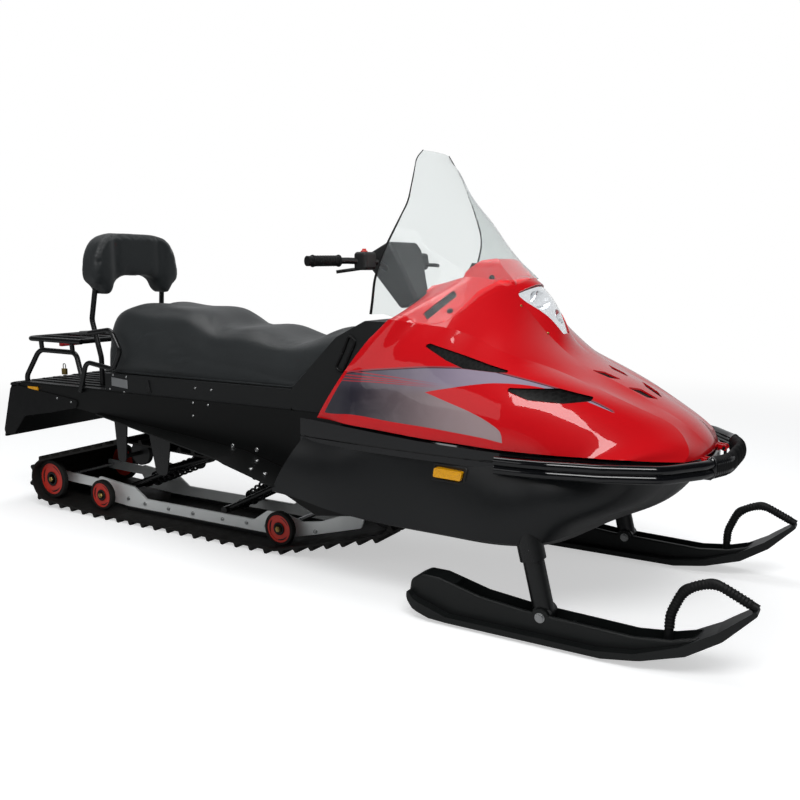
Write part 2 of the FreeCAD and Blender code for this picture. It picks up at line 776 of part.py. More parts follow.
def make_grilles():
    """Slotted plates that close the air slots from inside."""
    gap = size("seat_gap")
    outer = hood_skin(size("panel_thickness") + gap)
    inner = hood_skin(size("panel_thickness") + gap + 2.5)
    plates = [outer.common(prism).cut(inner) for prism in vent_prisms(9)]
    return group([solid for plate in plates for solid in plate.Solids if solid.Volume > 500])


node("hood_grilles", make_grilles())


def make_lens():
    """Clear lens seated behind the window."""
    gap = size("panel_thickness") + size("seat_gap")
    return hood_skin(gap).common(lamp_window(9, 90, 60)).cut(hood_skin(gap + 3)).Solids[0]


node("headlamp_lens", make_lens())


def make_headlamp():
    """Housing behind the lens with two round reflectors."""
    gap = size("panel_thickness") + 2 * size("seat_gap") + 3
    block = hood_skin(gap).common(lamp_window(5, 90, 52))
    down = V(math.cos(LAMP_SLOPE), 0, -math.sin(LAMP_SLOPE))
    out = V(math.sin(LAMP_SLOPE), 0, math.cos(LAMP_SLOPE))
    top = V(LAMP_TOP[0], 0, LAMP_TOP[1])
    bowls = []
    for side in (-1, 1):
        centre = top + down * 52 + V(0, side * 54, 0) - out * 38
        bowls.append(Part.makeCone(14, 46, 90, centre, out))
        bowls.append(Part.makeSphere(20, centre + out * 4))
    low = top + down * 126 - out * 34
    bowls.append(Part.makeCone(8, 26, 70, low, out))
    return block.cut(bowls).Solids[0]


node("headlamp", make_headlamp())


def make_cowl():
    """Raised visor over the instruments, on the hood's dome."""
    profile = [(592, 990), (617, 1064), (668, 1103), (724, 1109), (756, 1074), (800, 1030), (800, 990)]
    block = side_plate(profile, -104, 104, 22)
    section = outline([(500, -112, 980), (500, 112, 980), (500, 92, 1110), (500, -92, 1110)], 40)
    block = block.common(Part.Face(section).extrude(V(400, 0, 0)))
    pocket = side_plate([(540, 1006), (596, 1010), (640, 1090), (560, 1130)], -84, 84, 6)
    return block.cut(pocket).cut(HOOD_FORM).Solids[0]


cowl = make_cowl()
node("dash_cowl", cowl)


def make_gauges():
    """Instrument panel set into the visor's rear."""
    plate = side_plate([(596, 1010), (640, 1090), (633, 1094), (589, 1014)], -83.7, 83.7)
    back = V(-0.876, 0, 0.482)
    dials = [Part.makeCylinder(29, 9, V(612, y, 1052), back) for y in (-40, 40)]
    return fuse([plate] + dials).cut(cowl).cut(HOOD_FORM)


node("gauge_panel", make_gauges())


def make_hinges():
    """Pins under the nose and the brackets that carry them."""
    x = size("hinge_x")
    z = size("hinge_z")
    y = size("hinge_y")
    pin = rod((x, y - 24, z), (x, y + 24, z), size("hinge_pin_radius"))
    bracket = side_plate([(x - 7, z - 7), (x + 7, z - 7), (x + 7, z + 7), (x - 7, z + 7)], y - 7, y + 7, 4)
    foot = box((x - 78, y - 7, z - 56), (x + 6, y + 7, z - 50))
    stem = box((x - 2, y - 7, z - 56), (x + 6, y + 7, z))
    return both(fuse([pin, bracket, foot, stem]).cut(BELLY_FORM))


def rim_width(x):
    """Half width of the seam between hood and belly."""
    return hem_width(x)


def belly_guides():
    """Side, chine, floor edge and keel lines of the belly, each from the rear to the nose arc."""
    nose = size("nose_x") - 12
    top = size("rim_top") - 6
    side = [(100, 442, 420), (400, 446, 400), (700, 456, 390), (960, 486, 372), (1060, 462, 376),
            (1160, 396, 390), (1255, 326, 430), (1300, 296, 480), (nose - 90, 280, top)]
    chine = [(20, 436, 318), (150, 438, 300), (435, 438, 268), (700, 448, 268), (940, 480, 284),
             (1030, 444, 288), (1120, 340, 316), (1236, 262, 372), (1322, 228, 440),
             (nose - 44, 218, top)]
    floor = [(10, 400, 300), (150, 396, 282), (435, 394, 250), (700, 396, 246), (940, 402, 254),
             (1040, 340, 262), (1140, 240, 302), (1246, 178, 352), (1342, 146, 424),
             (nose - 18, 142, top)]
    keel = [(0, 0, 300), (150, 0, 278), (435, 0, 246), (700, 0, 240), (940, 0, 240),
            (1040, 0, 249), (1181, 0, 303), (1278, 0, 350), (1360, 0, 423), (nose - 4, 0, top)]
    return [smooth(line) for line in (side, chine, floor, keel)]


BELLY_PLANES = [(176, -0.6), (300, -0.3), (450, -0.08), (620, 0), (780, 0), (920, 0), (1010, 0.05),
                (1080, 0.25), (1130, 0.6), (1165, 1.3)]


def belly_sections(amount, raise_top):
    """Closed sections of the belly, moved inwards by an amount."""
    guides = belly_guides()
    top = size("rim_top") - 6
    wires = []
    for x, slope in BELLY_PLANES + [(1190, None)]:
        half, normal, up = fan_points(guides, x, top, rim_width(x) - 6, slope, True)
        if amount:
            full = half + [V(p.x, -p.y, p.z) for p in reversed(half[:-1])]
            half = inset(full, -normal, amount)[:len(half)]
            half[-1] = V(half[-1].x, 0, half[-1].z)
        wires.append(section_wire(half, up, raise_top, (2, 1, 2, 1, 2)))
    return wires


def seam_slab(low, high, rising=False):
    """A slab right across the machine that drops at the nose as the seam does."""
    tip = size("nose_x") + 60
    line = [(-100, 0), (NOSE_START, 0), (tip, -nose_fall(tip))]
    top = [(-100, HEM_RISE[0][1])] + HEM_RISE + line[1:] if rising else line
    profile = [(x, low + z) for x, z in line] + [(x, high + z) for x, z in reversed(top)]
    return side_plate(profile, -600, 600)


BELLY_FORM = skin(belly_sections(0, 0)).cut(seam_slab(size("rim_top") - 5.5, 700)).Solids[0]


def leg_point(z):
    """A point of the right leg's axis at this height."""
    rake = math.radians(size("leg_rake"))
    x = size("ski_bolt_x") - (z - size("ski_bolt_z")) * math.tan(rake)
    return V(x, -size("ski_stance") / 2, z)


ENGINE_LOW = 300


def make_belly():
    """Outer form less its inside, the tunnel's channel and the leg holes."""
    wires = belly_sections(size("panel_thickness"), 12)
    wires[0].translate(V(-10, 0, 0))
    wires[-1].translate(V(0, 0, 3))
    shell = BELLY_FORM.cut(skin(wires))
    gap = size("seam_gap")
    half = size("tunnel_width") / 2 + gap
    channel = box((-50, -half, 100), (size("tunnel_front_x") + gap, half, 600))
    shell = shell.cut(channel)
    hole = rod(leg_point(150), leg_point(size("strut_high") + 30), size("strut_radius") + gap)
    shell = shell.cut(hole).cut(mirrored(hole))
    bearers = [box((x - 12, -170, 242), (x + 12, 170, ENGINE_LOW - size("seat_gap"))) for x in (690, 890)]
    shell = shell.fuse(bearers)
    print("belly", BELLY_FORM.isValid(), shell.isValid(), [round(piece.Volume) for piece in shell.Solids])
    return shell


node("belly_pan", make_belly())


node("running_boards", both(make_boards().cut(BELLY_FORM)))


def plan_wire(offset, z, rear_x):
    """The seam's plan line, open at the rear, moved outwards by an offset."""
    right = []
    for x in (rear_x, 320, 560, 800, 980, 1080, 1140, 1200):
        right.append(V(x, -(rim_width(x) + offset), z))
    tip = size("nose_x")
    nose = []
    for back, y, out, forward in ((138, 336, 0.9, 0.35), (92, 290, 0.75, 0.65), (48, 238, 0.7, 0.7),
                                  (27, 194, 0.5, 0.85), (10, 112, 0.2, 1), (2, 0, 0, 1)):
        nose.append(V(tip - back + offset * forward, -(y + offset * out), z))
    points = right + nose
    points += [V(p.x, -p.y, p.z) for p in reversed(points[:-1])]
    return Part.Wire([smooth(points).toShape()])


def rim_band(inner_reach, outer_reach, low, high, rear_x=150):
    """A band that follows the seam between two distances from its line."""
    outer = plan_wire(outer_reach, 420, rear_x)
    inner = plan_wire(inner_reach, 420, rear_x)
    ends = []
    for side in (0, -1):
        a = outer.OrderedVertexes[side].Point
        b = inner.OrderedVertexes[side].Point
        ends.append(Part.LineSegment(a, b).toShape())
    face = Part.Face(Part.Wire([outer.Edges[0], ends[0], inner.Edges[0], ends[1]]))
    return face.extrude(V(0, 0, 180)).common(seam_slab(low, high, inner_reach < 0))


def make_rim():
    """The black double-ridged band that closes the seam between hood and belly."""
    top = size("rim_top") - size("seam_gap")
    low = size("rim_top") - size("rim_height")
    middle = (top + low) / 2
    reach = size("rim_depth") / 2
    band = rim_band(-reach, reach, low, top)
    groove = rim_band(reach - 7, reach + 30, middle - 3, middle + 3, 120)
    x = size("hinge_x")
    y = size("hinge_y")
    z = size("hinge_z")
    notch = box((x - 50, y - 23, z - 16), (x + 20, y + 23, z + 40))
    return band.cut([groove, notch, mirrored(notch)]).cut(BELLY_FORM).cut(HOOD_FORM)


node("belly_rim", make_rim())


def make_bumper():
    """Two stacked tubes joined into one band round the nose, standing off in front as a loop."""
    z = size("rim_top") - size("rim_height") / 2 - 4
    radius = size("bumper_radius")
    front = size("bumper_front_x")
    tip = size("nose_x")
    half = size("hood_half_width")
    right = [(900, -half - 30), (980, -half - 26), (1050, -half - 17), (1130, 3 - half), (1200, 19 - half),
             (tip - 150, 49 - half), (tip - 68, 85 - half), (tip + 14, -240), (front, -116)]
    plan = right + [(x, -y) for x, y in reversed(right)]
    tubes = [bent_bar([(x, y, z + rise) for x, y in plan], 120, radius) for rise in (-12.5, 12.5)]
    return fuse(tubes).cut(BELLY_FORM)


node("front_bumper", make_bumper())


# Engine: one plain block where the engine sits
engine = doc.addObject("Part::Box", "engine_block")
engine.Label = "engine_block"
engine.setExpression("Length", "Sizes.engine_length")
engine.setExpression("Width", "Sizes.engine_width")
engine.setExpression("Height", "Sizes.engine_height")
engine.Placement.Base = V(640, -size("engine_width") / 2, ENGINE_LOW)
node("hood_hinges", make_hinges())


# Struts and ski legs

def make_strut():
    """Outer tube of the right leg."""
    low = leg_point(size("strut_low"))
    high = leg_point(size("strut_high"))
    return ring(low, high, size("strut_radius"), size("leg_radius") + 0.5)


node("leg_struts", both(make_strut()))


def make_leg():
    """Inner tube with a rounded foot that the ski bolt passes through."""
    bolt = V(size("ski_bolt_x"), -size("ski_stance") / 2, size("ski_bolt_z"))
    width = size("fork_width")
    radius = size("leg_radius")
    tube = rod(bolt, leg_point(size("strut_high") - 45), radius)
    foot = wheel(bolt.x, bolt.y, bolt.z, radius - 2, width)
    trim = wheel(bolt.x, bolt.y, bolt.z, radius - 2, width + 20)
    below = box((bolt.x - 90, bolt.y - 60, 0), (bolt.x + 90, bolt.y + 60, bolt.z))
    leg = tube.cut(below).fuse(foot)
    sides = [box((bolt.x - 90, bolt.y + s * (width / 2 + 20) - 20, 0),
                 (bolt.x + 90, bolt.y + s * (width / 2 + 20) + 20, bolt.z + 42)) for s in (-1, 1)]
    leg = leg.cut(sides[0]).cut(sides[1])
    return leg.cut(wheel(bolt.x, bolt.y, bolt.z, size("bolt_radius"), 200))


leg = make_leg()
node("leg_right", leg)
node("leg_left", mirrored(leg))


def make_bolt():
    """Pivot bolt with a washer and a head on each side."""
    x = size("ski_bolt_x")
    z = size("ski_bolt_z")
    y = -size("ski_stance") / 2
    reach = size("fork_width") / 2 + 10
    parts = [wheel(x, y, z, size("bolt_radius") - 0.05, 2 * reach + 2)]
    for side in (-1, 1):
        parts.append(wheel(x, y + side * (reach + 1.2), z, 15, 2))
        parts.append(wheel(x, y + side * (reach + 5), z, 11, 7))
    return fuse(parts)


bolt = make_bolt()
node("ski_bolt_right", bolt)
node("ski_bolt_left", mirrored(bolt))


# Skis: moulded troughs with turned-up fronts, a handle loop and a steel runner

def make_ski():
    """Right ski: a wide sole with a narrower open channel on it, closed at the tail."""
    y = -size("ski_stance") / 2
    half = size("ski_width") / 2
    low = size("runner_height")
    thick = size("ski_thickness")
    inner = size("fork_width") / 2 + 1
    outer = inner + 9
    bottom = [(614, 60), (640, low + 22), (700, low + 3), (760, low), (1240, low), (1350, low + 18),
              (1462, 62), (1550, 118), (1632, 200)]
    sole = side_plate(bottom + [(1624, 210), (1536, 140), (1446, 86), (1330, low + 18 + thick + 4),
                                (1220, low + thick + 6), (760, low + thick + 6), (640, low + 54), (618, 92)],
                      y - half, y + half, 24)
    crest = [(1580, 152), (1500, 116), (1420, 92), (1320, 80), (1200, 84), (1000, 90), (860, 104),
             (770, 126), (720, 138), (660, 138), (622, 116)]
    channel = side_plate(bottom[:-1] + crest, y - outer, y + outer, 26)
    top_edges = [e for e in channel.Edges if e.BoundBox.ZMin > 78 and e.BoundBox.XMax < 780
                 and e.BoundBox.YLength < 0.1]
    channel = channel.makeFillet(7, top_edges)
    hollow = [(772, 300), (772, 108), (800, low + thick), (1240, low + thick), (1350, low + 32),
              (1440, 68), (1500, 120), (1500, 300)]
    trough = side_plate(hollow, y - inner, y + inner, 12)
    plan = top_plate([(600, y - half + 14), (600, y + half - 14), (660, y + half), (1330, y + half),
                      (1560, y + 44), (1640, y + 22), (1640, y - 22), (1560, y - 44), (1330, y - half),
                      (660, y - half)], 0, 300, 50)
    bolt_x = size("ski_bolt_x")
    bolt_z = size("ski_bolt_z")
    boss = wheel(bolt_x, y, bolt_z, 26, 2 * outer)
    ski = sole.common(plan).fuse([channel, boss]).cut(trough)
    rib = box((bolt_x + 78, y - inner - 1, low + 4), (bolt_x + 88, y + inner + 1, 62))
    ski = ski.fuse(rib)
    clearance = wheel(bolt_x, y, bolt_z, size("leg_radius") + 12, 2 * inner)
    return ski.cut(clearance).cut(wheel(bolt_x, y, bolt_z, size("bolt_radius"), 3 * half)).removeSplitter()


ski = make_ski()
node("ski_right", ski)
node("ski_left", mirrored(ski))


def make_loop():
    """Ribbed hand loop on the right ski's tip."""
    y = -size("ski_stance") / 2
    points = [(1404, y, 40), (1408, y, 150), (1440, y, 228), (1516, y, 262), (1627, y, 209)]
    bar = bent_bar(points, 36, 12).cut(ski)
    return max(bar.Solids, key=lambda solid: solid.Volume)


loop = make_loop()
node("ski_loop_right", loop)
node("ski_loop_left", mirrored(loop))


def make_runner():
    """Steel wear bar under the ski."""
    y = -size("ski_stance") / 2
    low = size("runner_height")
    profile = [(760, low), (790, 0), (1230, 0), (1262, low)]
    return side_plate(profile, y - 9, y + 9)


runner = make_runner()
node("ski_runner_right", runner)
node("ski_runner_left", mirrored(runner))


# Windscreen: a deep bow of clear sheet

SCREEN_HEIGHTS = [(890, 412, 368, 890, 6), (930, 415, 370, 872, 4.4), (965, 419, 371, 856, 3.2),
                  (1006, 424, 371, 844, 2.5), (1037, 428, 371, 826, 2.2), (1090, 442, 366, 762, 2.2),
                  (1146, 462, 356, 705, 2.2), (1197, 476, 330, 664, 2.2), (1290, 481, 248, 586, 2.2),
                  (1386, 467, 186, 520, 2.2), (1440, 452, 142, 482, 2.2), (1470, 452, 96, 466, 2.2)]
SCREEN_HEM = [(300, 926), (459, 932), (533, 912), (650, 899), (697, 963), (723, 1006), (764, 1037),
              (840, 1046), (1200, 1046), (1200, 700), (300, 700)]


def screen_wire(z, edge_x, half, front_x, power, thick):
    """A closed crescent: outer bow, inner bow and two short ends."""
    bows = []
    for amount in (0, thick):
        points = []
        for share in (-1, -0.94, -0.8, -0.6, -0.35, 0, 0.35, 0.6, 0.8, 0.94, 1):
            y = share * (half - amount * 0.7)
            x = edge_x + (front_x - amount - edge_x) * (1 - abs(share) ** power)
            points.append((x, y, z))
        bows.append(smooth(points))
    outer, inner = [b.toShape() for b in bows]
    ends = []
    for i in (0, 1):
        a = outer.Vertexes[i].Point
        b = inner.Vertexes[i].Point
        ends.append(Part.LineSegment(a, b).toShape())
    return Part.Wire([outer, ends[1], inner, ends[0]])


def make_screen():
    """The bow cut to its lower edge and to the hood's form."""
    wires = [screen_wire(z, edge, half, front, power, size("screen_thickness"))
             for z, edge, half, front, power in SCREEN_HEIGHTS]
    bow = Part.makeLoft(wires, True, False, False, 3)
    bow = bow.cut(side_plate(SCREEN_HEM, -500, 500)).cut(HOOD_FORM).cut(cowl)
    solids = sorted(bow.Solids, key=lambda piece: -piece.Volume)
    print("screen", bow.isValid(), [round(piece.Volume) for piece in solids])
    return solids[0]


node("windscreen", make_screen())


# Steering: inclined column, bar with grips, pods and levers

TILT = math.radians(size("column_tilt"))
COLUMN_UP = V(-math.sin(TILT), 0, math.cos(TILT))
BAR_CENTRE = V(size("bar_x"), 0, size("bar_z"))


def make_bar():
    """Bent handlebar on its column."""
    span = size("bar_half_span")
    x = size("bar_x")
    z = size("bar_z")
    right = [(x - 106, -span, z + 4), (x - 50, -250, z + 6), (x + 4, -150, z + 2), (x + 4, -60, z - 30)]
    points = right + [(a, -b, c) for a, b, c in reversed(right)]
    bar = bent_bar(points, 60, size("bar_radius"))
    column = rod(BAR_CENTRE + COLUMN_UP * -20, BAR_CENTRE - COLUMN_UP * 330, 15)
    clamp = rod(BAR_CENTRE + COLUMN_UP * 4, BAR_CENTRE - COLUMN_UP * 60, 30)
    return fuse([bar, column, clamp])


node("handlebar", make_bar())


def make_grips():
    """Rubber sleeves on both bar ends."""
    x = size("bar_x")
    z = size("bar_z")
    span = size("bar_half_span")
    end = V(x - 106, -span, z + 4)
    inner = V(x - 50, -250, z + 6)
    along = (end - inner).normalize()
    start = inner + along * 34
    sleeve = ring(start, end + along * 0.3, 17, size("bar_radius") + 0.1)
    cap = rod(end + along * 0.3, end + along * 6, 17)
    return both(sleeve.fuse(cap))


node("grips", make_grips())


def make_pods():
    """Control housings beside the grips and the padded centre cover."""
    x = size("bar_x")
    z = size("bar_z")
    right = box((x - 44, -226, z - 26), (x + 8, -150, z + 36))
    right = right.makeFillet(12, right.Edges)
    right = right.cut(doc.getObject("handlebar").Shape)
    return both(right)


node("control_pods", make_pods())


def make_bar_pad():
    """Padded cover round the clamp, narrowing down the column."""
    rear = COLUMN_UP.cross(V(0, 1, 0))
    wires = []
    for along, half, depth in ((58, 102, 56), (20, 104, 62), (-165, 50, 40)):
        centre = BAR_CENTRE + COLUMN_UP * along
        corners = [centre + V(0, y, 0) + rear * d
                   for y, d in ((-half, -depth), (half, -depth), (half, depth), (-half, depth))]
        wires.append(Part.makePolygon(corners + [corners[0]]))
    pad = Part.makeLoft(wires, True, True)
    long_edges = [edge for edge in pad.Edges if edge.Length > 30]
    pad = pad.makeFillet(16, long_edges)
    return pad.cut(doc.getObject("handlebar").Shape)


node("bar_pad", make_bar_pad())


def make_levers():
    """Thumb throttle on the right, brake lever on the left."""
    x = size("bar_x")
    z = size("bar_z")
    pods = doc.getObject("control_pods").Shape
    thumb = rod((x - 26, -204, z - 20), (x - 96, -252, z - 32), 6).cut(pods)
    brake = bent_bar([(x + 3, 200, z - 7), (x + 26, 246, z - 8), (x - 30, 370, z - 10)], 30, 7).cut(pods)
    return group([max(piece.Solids, key=lambda solid: solid.Volume) for piece in (thumb, brake)])


node("levers", make_levers())


# Fuel tank

def make_knee_console():
    """Fuel tank and knee panels between the seat and the hood's rear edge."""
    half = size("tunnel_width") / 2 - 4
    gap = size("seat_gap")
    profile = [(12, size("seat_low") - 22), (212, 842), (330, 902), (430, 900), (300, 700),
               (190, 545), (12, 576)]
    body = side_plate(profile, -half, half, 14)
    slot = rod(BAR_CENTRE, BAR_CENTRE - COLUMN_UP * 360, 15 + size("seat_gap"))
    low = box((-400, -half - 1, 400), (600, half + 1, size("tunnel_top") + gap))
    return body.cut(slot).cut(low)


node("fuel_tank", make_knee_console())


# Seat

# Side panels and pan under the cushion
base = bind(doc.addObject("Part::Box", "seat_base"), Length="961", Width="Sizes.tunnel_width - 12",
            Height="Sizes.seat_low - Sizes.tunnel_top - Sizes.seat_gap - 22.3", x="-950",
            y="6 - Sizes.tunnel_width / 2", z="Sizes.tunnel_top + 0.3")
base.Label = "seat_base"


SEAT_TOP = [(-974, 846), (-962, 884), (-938, 912), (-896, 926), (-770, 917), (-640, 912), (-556, 908),
            (-500, 890), (-440, 858), (-392, 844), (-200, 834), (60, 828), (230, 838)]


def make_cushion():
    """Long cushion with a raised passenger hump, lofted through rounded sections."""
    low = size("seat_low") - 22
    wires = []
    for x, top in SEAT_TOP:
        half = size("seat_half_width") - max(0, -930 - x) * 0.4
        side = [(-half - 44, low), (-half - 49, low + 50), (-half - 34, top - 72), (-half - 4, top - 23),
                (46 - half, top - 4), (0, top)]
        points = [V(x, y, z) for y, z in side + [(-y, z) for y, z in reversed(side[:-1])]]
        wires.append(Part.Wire([smooth(points).toShape(), Part.LineSegment(points[-1], points[0]).toShape()]))
    front = side_plate([(6, low), (200, 836), (320, 953), (320, low - 20), (6, low - 20)], -400, 400)
    return skin(wires).cut(front).Solids[0]


node("seat_cushion", make_cushion())


# Backrest

def make_backrest_frame():
    """Two bent posts from the deck up into the pad."""
    right = [(-1052, -200, 578), (-1052, -200, 700), (-1098, -200, 860), (-1078, -190, 1000)]
    post = bent_bar(right, 60, size("tube_radius"))
    return both(post)


node("backrest_posts", make_backrest_frame())


def make_pad():
    """Winged pad with a cut-out between its lower ends."""
    wide = size("pad_half_width")
    top = size("pad_top")
    low = size("pad_low")
    rear = -1078 - size("pad_thickness") / 3
    right = [(wide - 140, top - 3), (wide - 62, top - 27), (wide - 16, top - 84), (wide, top - 150),
             (wide - 7, top - 212), (wide - 35, low + 34), (wide - 68, low), (wide - 104, low + 12),
             (wide - 132, low + 44), (wide - 168, low + 66)]
    points = [(0, top)] + right + [(0, low + 70)] + [(-y, z) for y, z in reversed(right)]
    curve = Part.BSplineCurve()
    curve.interpolate(Points=[V(rear, y, z) for y, z in points], PeriodicFlag=True)
    pad = Part.Face(Part.Wire([curve.toShape()])).extrude(V(size("pad_thickness"), 0, 0))
    rims = [edge for edge in pad.Edges if edge.BoundBox.XLength < 0.1]
    pad = pad.makeFillet(20, rims)
    holes = [rod((-1098, side * 200, 860), (-1078, side * 190, 1000), size("tube_radius") + 0.3)
             for side in (-1, 1)]
    return pad.cut(holes)


node("backrest_pad", make_pad())


# Tail: ribbed deck, rack, lamp, flap and hitch

def make_deck():
    """Ribbed plate on the tunnel behind the seat."""
    half = size("tunnel_width") / 2 - 6
    low = size("tunnel_top") + 0.3
    thick = size("deck_thickness")
    plate = box((-1494, -half, low), (-952, half, low + thick))
    ribs = [box((-1480, y - 5, low + thick - 0.5), (-965, y + 5, low + thick + 5))
            for y in range(-224, 225, 56)]
    return fuse([plate] + ribs)


node("tail_deck", make_deck())


def make_rack():
    """Raised tube rack behind the backrest with two feet on the deck."""
    radius = size("tube_radius")
    low = size("tunnel_top") + size("deck_thickness") + 0.6
    z = 765
    foot = size("tunnel_width") / 2 - 32
    hoop = bent_bar([(-1484, -foot, low), (-1484, -foot, low + 24), (-1420, -226, 718), (-1180, -226, 716),
                     (-1120, -foot, low + 30), (-1120, -foot, low)], 50, radius)
    deck_loop = bent_bar([(-1130, -236, z), (-1500, -222, z), (-1500, 222, z), (-1130, 236, z)], 40, radius)
    bars = [rod((-1500, y, z), (-1140, y, z), radius - 3) for y in (-110, 0, 110)]
    cross = rod((-1150, -236, z), (-1150, 236, z), radius)
    risers = [rod((x, s * 226, 716), (x, s * 230, z), radius - 1) for x in (-1400, -1200) for s in (-1, 1)]
    return fuse([hoop, mirrored(hoop), deck_loop, cross] + bars + risers)


node("rear_rack", make_rack())


def make_grab_rail():
    """Side loop that the passenger holds."""
    radius = size("tube_radius") - 1
    y = size("tunnel_width") / 2 + radius + 0.3
    points = [(-1100, -y + 30, 805), (-1010, -y, 812), (-880, -y - 4, 830), (-830, -y - 4, 745), (-880, -y, 668),
              (-1040, -y, 690), (-1086, -y, 560)]
    return both(bent_bar(points, 34, radius))


node("grab_rails", make_grab_rail())


def make_flap():
    """Hanging rear flap, side cheeks on the tunnel's walls and two cap strips over its edge."""
    gap = size("seat_gap")
    half = size("tunnel_width") / 2 + 6 + gap
    edge = size("tunnel_rear_x") - gap
    profile = [(-1557, 557), (-1590, 470), (-1627, 318), (-1617, 316), (-1578, 468), (-1548, 554)]
    back = side_plate(profile, -half + 6 + gap, half - 6 - gap)
    cheek = side_plate([(-1625, 330), (-1556, 548), (-1502, 558), (-1120, 520), (-1120, 490), (-1300, 452),
                        (-1470, 424), (-1560, 330)], half - 6, half, 18)
    strip = side_plate([(-1556, 558), (edge, 558 + gap), (edge, 571), (-1530, 574), (-1552, 568)], 34, half)
    return group([back, cheek, mirrored(cheek), strip, mirrored(strip)])


node("snow_flap", make_flap())


def make_hitch():
    """Rear tow hitch: a tongue with a vertical pin bore on a cross beam."""
    x = size("hitch_x")
    z = size("hitch_z")
    tongue = top_plate([(x - 20, -22), (x - 20, 22), (x + 35, 40), (-1424, 40), (-1424, -40), (x + 35, -40)],
                       z - 8, z + 8, 12)
    beam = box((-1432, -ARM_SPAN + 0.3, z - 24), (-1424, ARM_SPAN - 0.3, z + 60))
    return fuse([tongue, beam]).cut(rod((x, 0, z - 20), (x, 0, z + 20), size("hitch_bore_radius")))


node("tow_hitch", make_hitch())


def make_rear_lamp():
    """Red lamp under the rack's rear bar."""
    lamp = box((-1500, -60, 716), (-1478, 60, 760))
    lamp = lamp.makeFillet(5, lamp.Edges).cut(doc.getObject("rear_rack").Shape)
    return max(lamp.Solids, key=lambda solid: solid.Volume)


node("tail_lamp", make_rear_lamp())


def make_reflectors():
    """Amber reflectors on the belly's sides and on the flap's cheeks."""
    front = side_plate([(696, 452), (788, 449), (793, 477), (700, 480)], -472, -445, 4).cut(BELLY_FORM)
    rear_y = size("tunnel_width") / 2 + size("seat_gap")
    rear = box((-1436, -rear_y - 5, 538), (-1372, -rear_y, 560)).cut(doc.getObject("snow_flap").Shape)
    return group([front, mirrored(front), rear, mirrored(rear)])


node("reflectors", make_reflectors())


# Check every object, then write one file per sub-part
doc.recompute()
os.makedirs("parts", exist_ok=True)
for part in doc.Objects:
    if not part.isDerivedFrom("Part::Feature") or part.InList:
        continue
    shape = part.Shape
    if "Invalid" in part.State or "Error" in part.State or shape.isNull() or not shape.isValid():
        raise RuntimeError("%s is not a sound solid" % part.Label)
    shape.exportStep("parts/%s.step" % part.Label)
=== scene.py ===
# %% [markdown]
# # Dressing a touring snowmobile
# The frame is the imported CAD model: hood, belly pan, track, skis and the rest as solids in metres.
# This notebook gives every solid the finish of the real thing, and adds what a solid leaves out:
# the upholstery, rivets, rubber edging and small fittings. X points to the nose, Y to the rider's
# left, Z up.

# %% Load the frame
import math

import bmesh
import bpy
import numpy as np
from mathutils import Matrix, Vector
from mathutils.bvhtree import BVHTree


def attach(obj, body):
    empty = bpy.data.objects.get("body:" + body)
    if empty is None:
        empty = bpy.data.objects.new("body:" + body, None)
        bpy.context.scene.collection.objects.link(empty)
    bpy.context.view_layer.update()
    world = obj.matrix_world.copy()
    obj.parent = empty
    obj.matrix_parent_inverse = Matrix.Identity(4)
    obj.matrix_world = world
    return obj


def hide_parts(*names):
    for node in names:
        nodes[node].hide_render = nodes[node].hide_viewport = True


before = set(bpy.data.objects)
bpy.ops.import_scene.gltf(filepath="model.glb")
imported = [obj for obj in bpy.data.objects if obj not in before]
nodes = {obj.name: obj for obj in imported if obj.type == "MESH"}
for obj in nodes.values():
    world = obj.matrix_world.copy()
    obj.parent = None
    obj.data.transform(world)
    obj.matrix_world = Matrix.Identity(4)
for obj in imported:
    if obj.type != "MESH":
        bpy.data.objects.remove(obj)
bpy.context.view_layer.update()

# %% [markdown]
# ## Camera
# The photograph was taken from ahead of the right side, a little above the handlebar, with a
# normal lens. Matching a dozen points of the vehicle gave the eye, the two angles and the lens,
# so the frame of the render is the frame of the photograph.

# %% Place the camera
EYE = Vector((1.893, -2.723, 1.079))
TURN, DIP = math.radians(30.233), math.radians(8.739)
SENSOR_MM, FOCAL_PIXELS, PICTURE_PIXELS = 36, 861.93, 800
camera = bpy.data.objects.new("camera", bpy.data.cameras.new("camera"))
bpy.context.scene.collection.objects.link(camera)
camera.location = EYE
camera.rotation_euler = (math.radians(90) - DIP, 0, TURN)
camera.data.sensor_width = SENSOR_MM
camera.data.lens = FOCAL_PIXELS / PICTURE_PIXELS * SENSOR_MM
camera.data.clip_end = 200
bpy.context.scene.camera = camera
print("lens", round(camera.data.lens, 2), "mm")

# %% [markdown]
# ## Colours and nodes
# Paint charts give colours as sRGB hex codes, but Blender mixes light in linear numbers, so one
# function turns the first into the second. Another adds a node with its settings and links: a
# material then reads as a list of what is laid over what.

# %% Two small helpers


def linear(code):
    """An sRGB hex colour as Blender's linear numbers."""
    parts = [int(code[i:i + 2], 16) / 255 for i in (1, 3, 5)]
    return tuple(v / 12.92 if v < 0.0405 else ((v + 0.055) / 1.055) ** 2.4 for v in parts) + (1.0,)


def add(tree, kind, inputs, **settings):
    """Adds one node; an input is a number, a colour or the output that feeds it."""
    made = tree.nodes.new(kind)
    for name, value in settings.items():
        setattr(made, name, value)
    for key, value in inputs.items():
        socket = made.inputs[key]
        if isinstance(value, bpy.types.NodeSocket):
            tree.links.new(value, socket)
        else:
            socket.default_value = value
    return made


print("hood red is", [round(v, 3) for v in linear("#C8101C")])

# %% [markdown]
# ## Studio
# The vehicle stood in a white studio: pale floor, pale walls, a broad soft box above its front
# right corner, a weaker one to the side and one overhead. Light Path makes the floor and the
# world white to the camera and through glass. In reflections they are dimmer, and brightest behind
# the vehicle, as dark flags beside a camera make them. So black plastic stays black.

# %% Lamps, world and floor


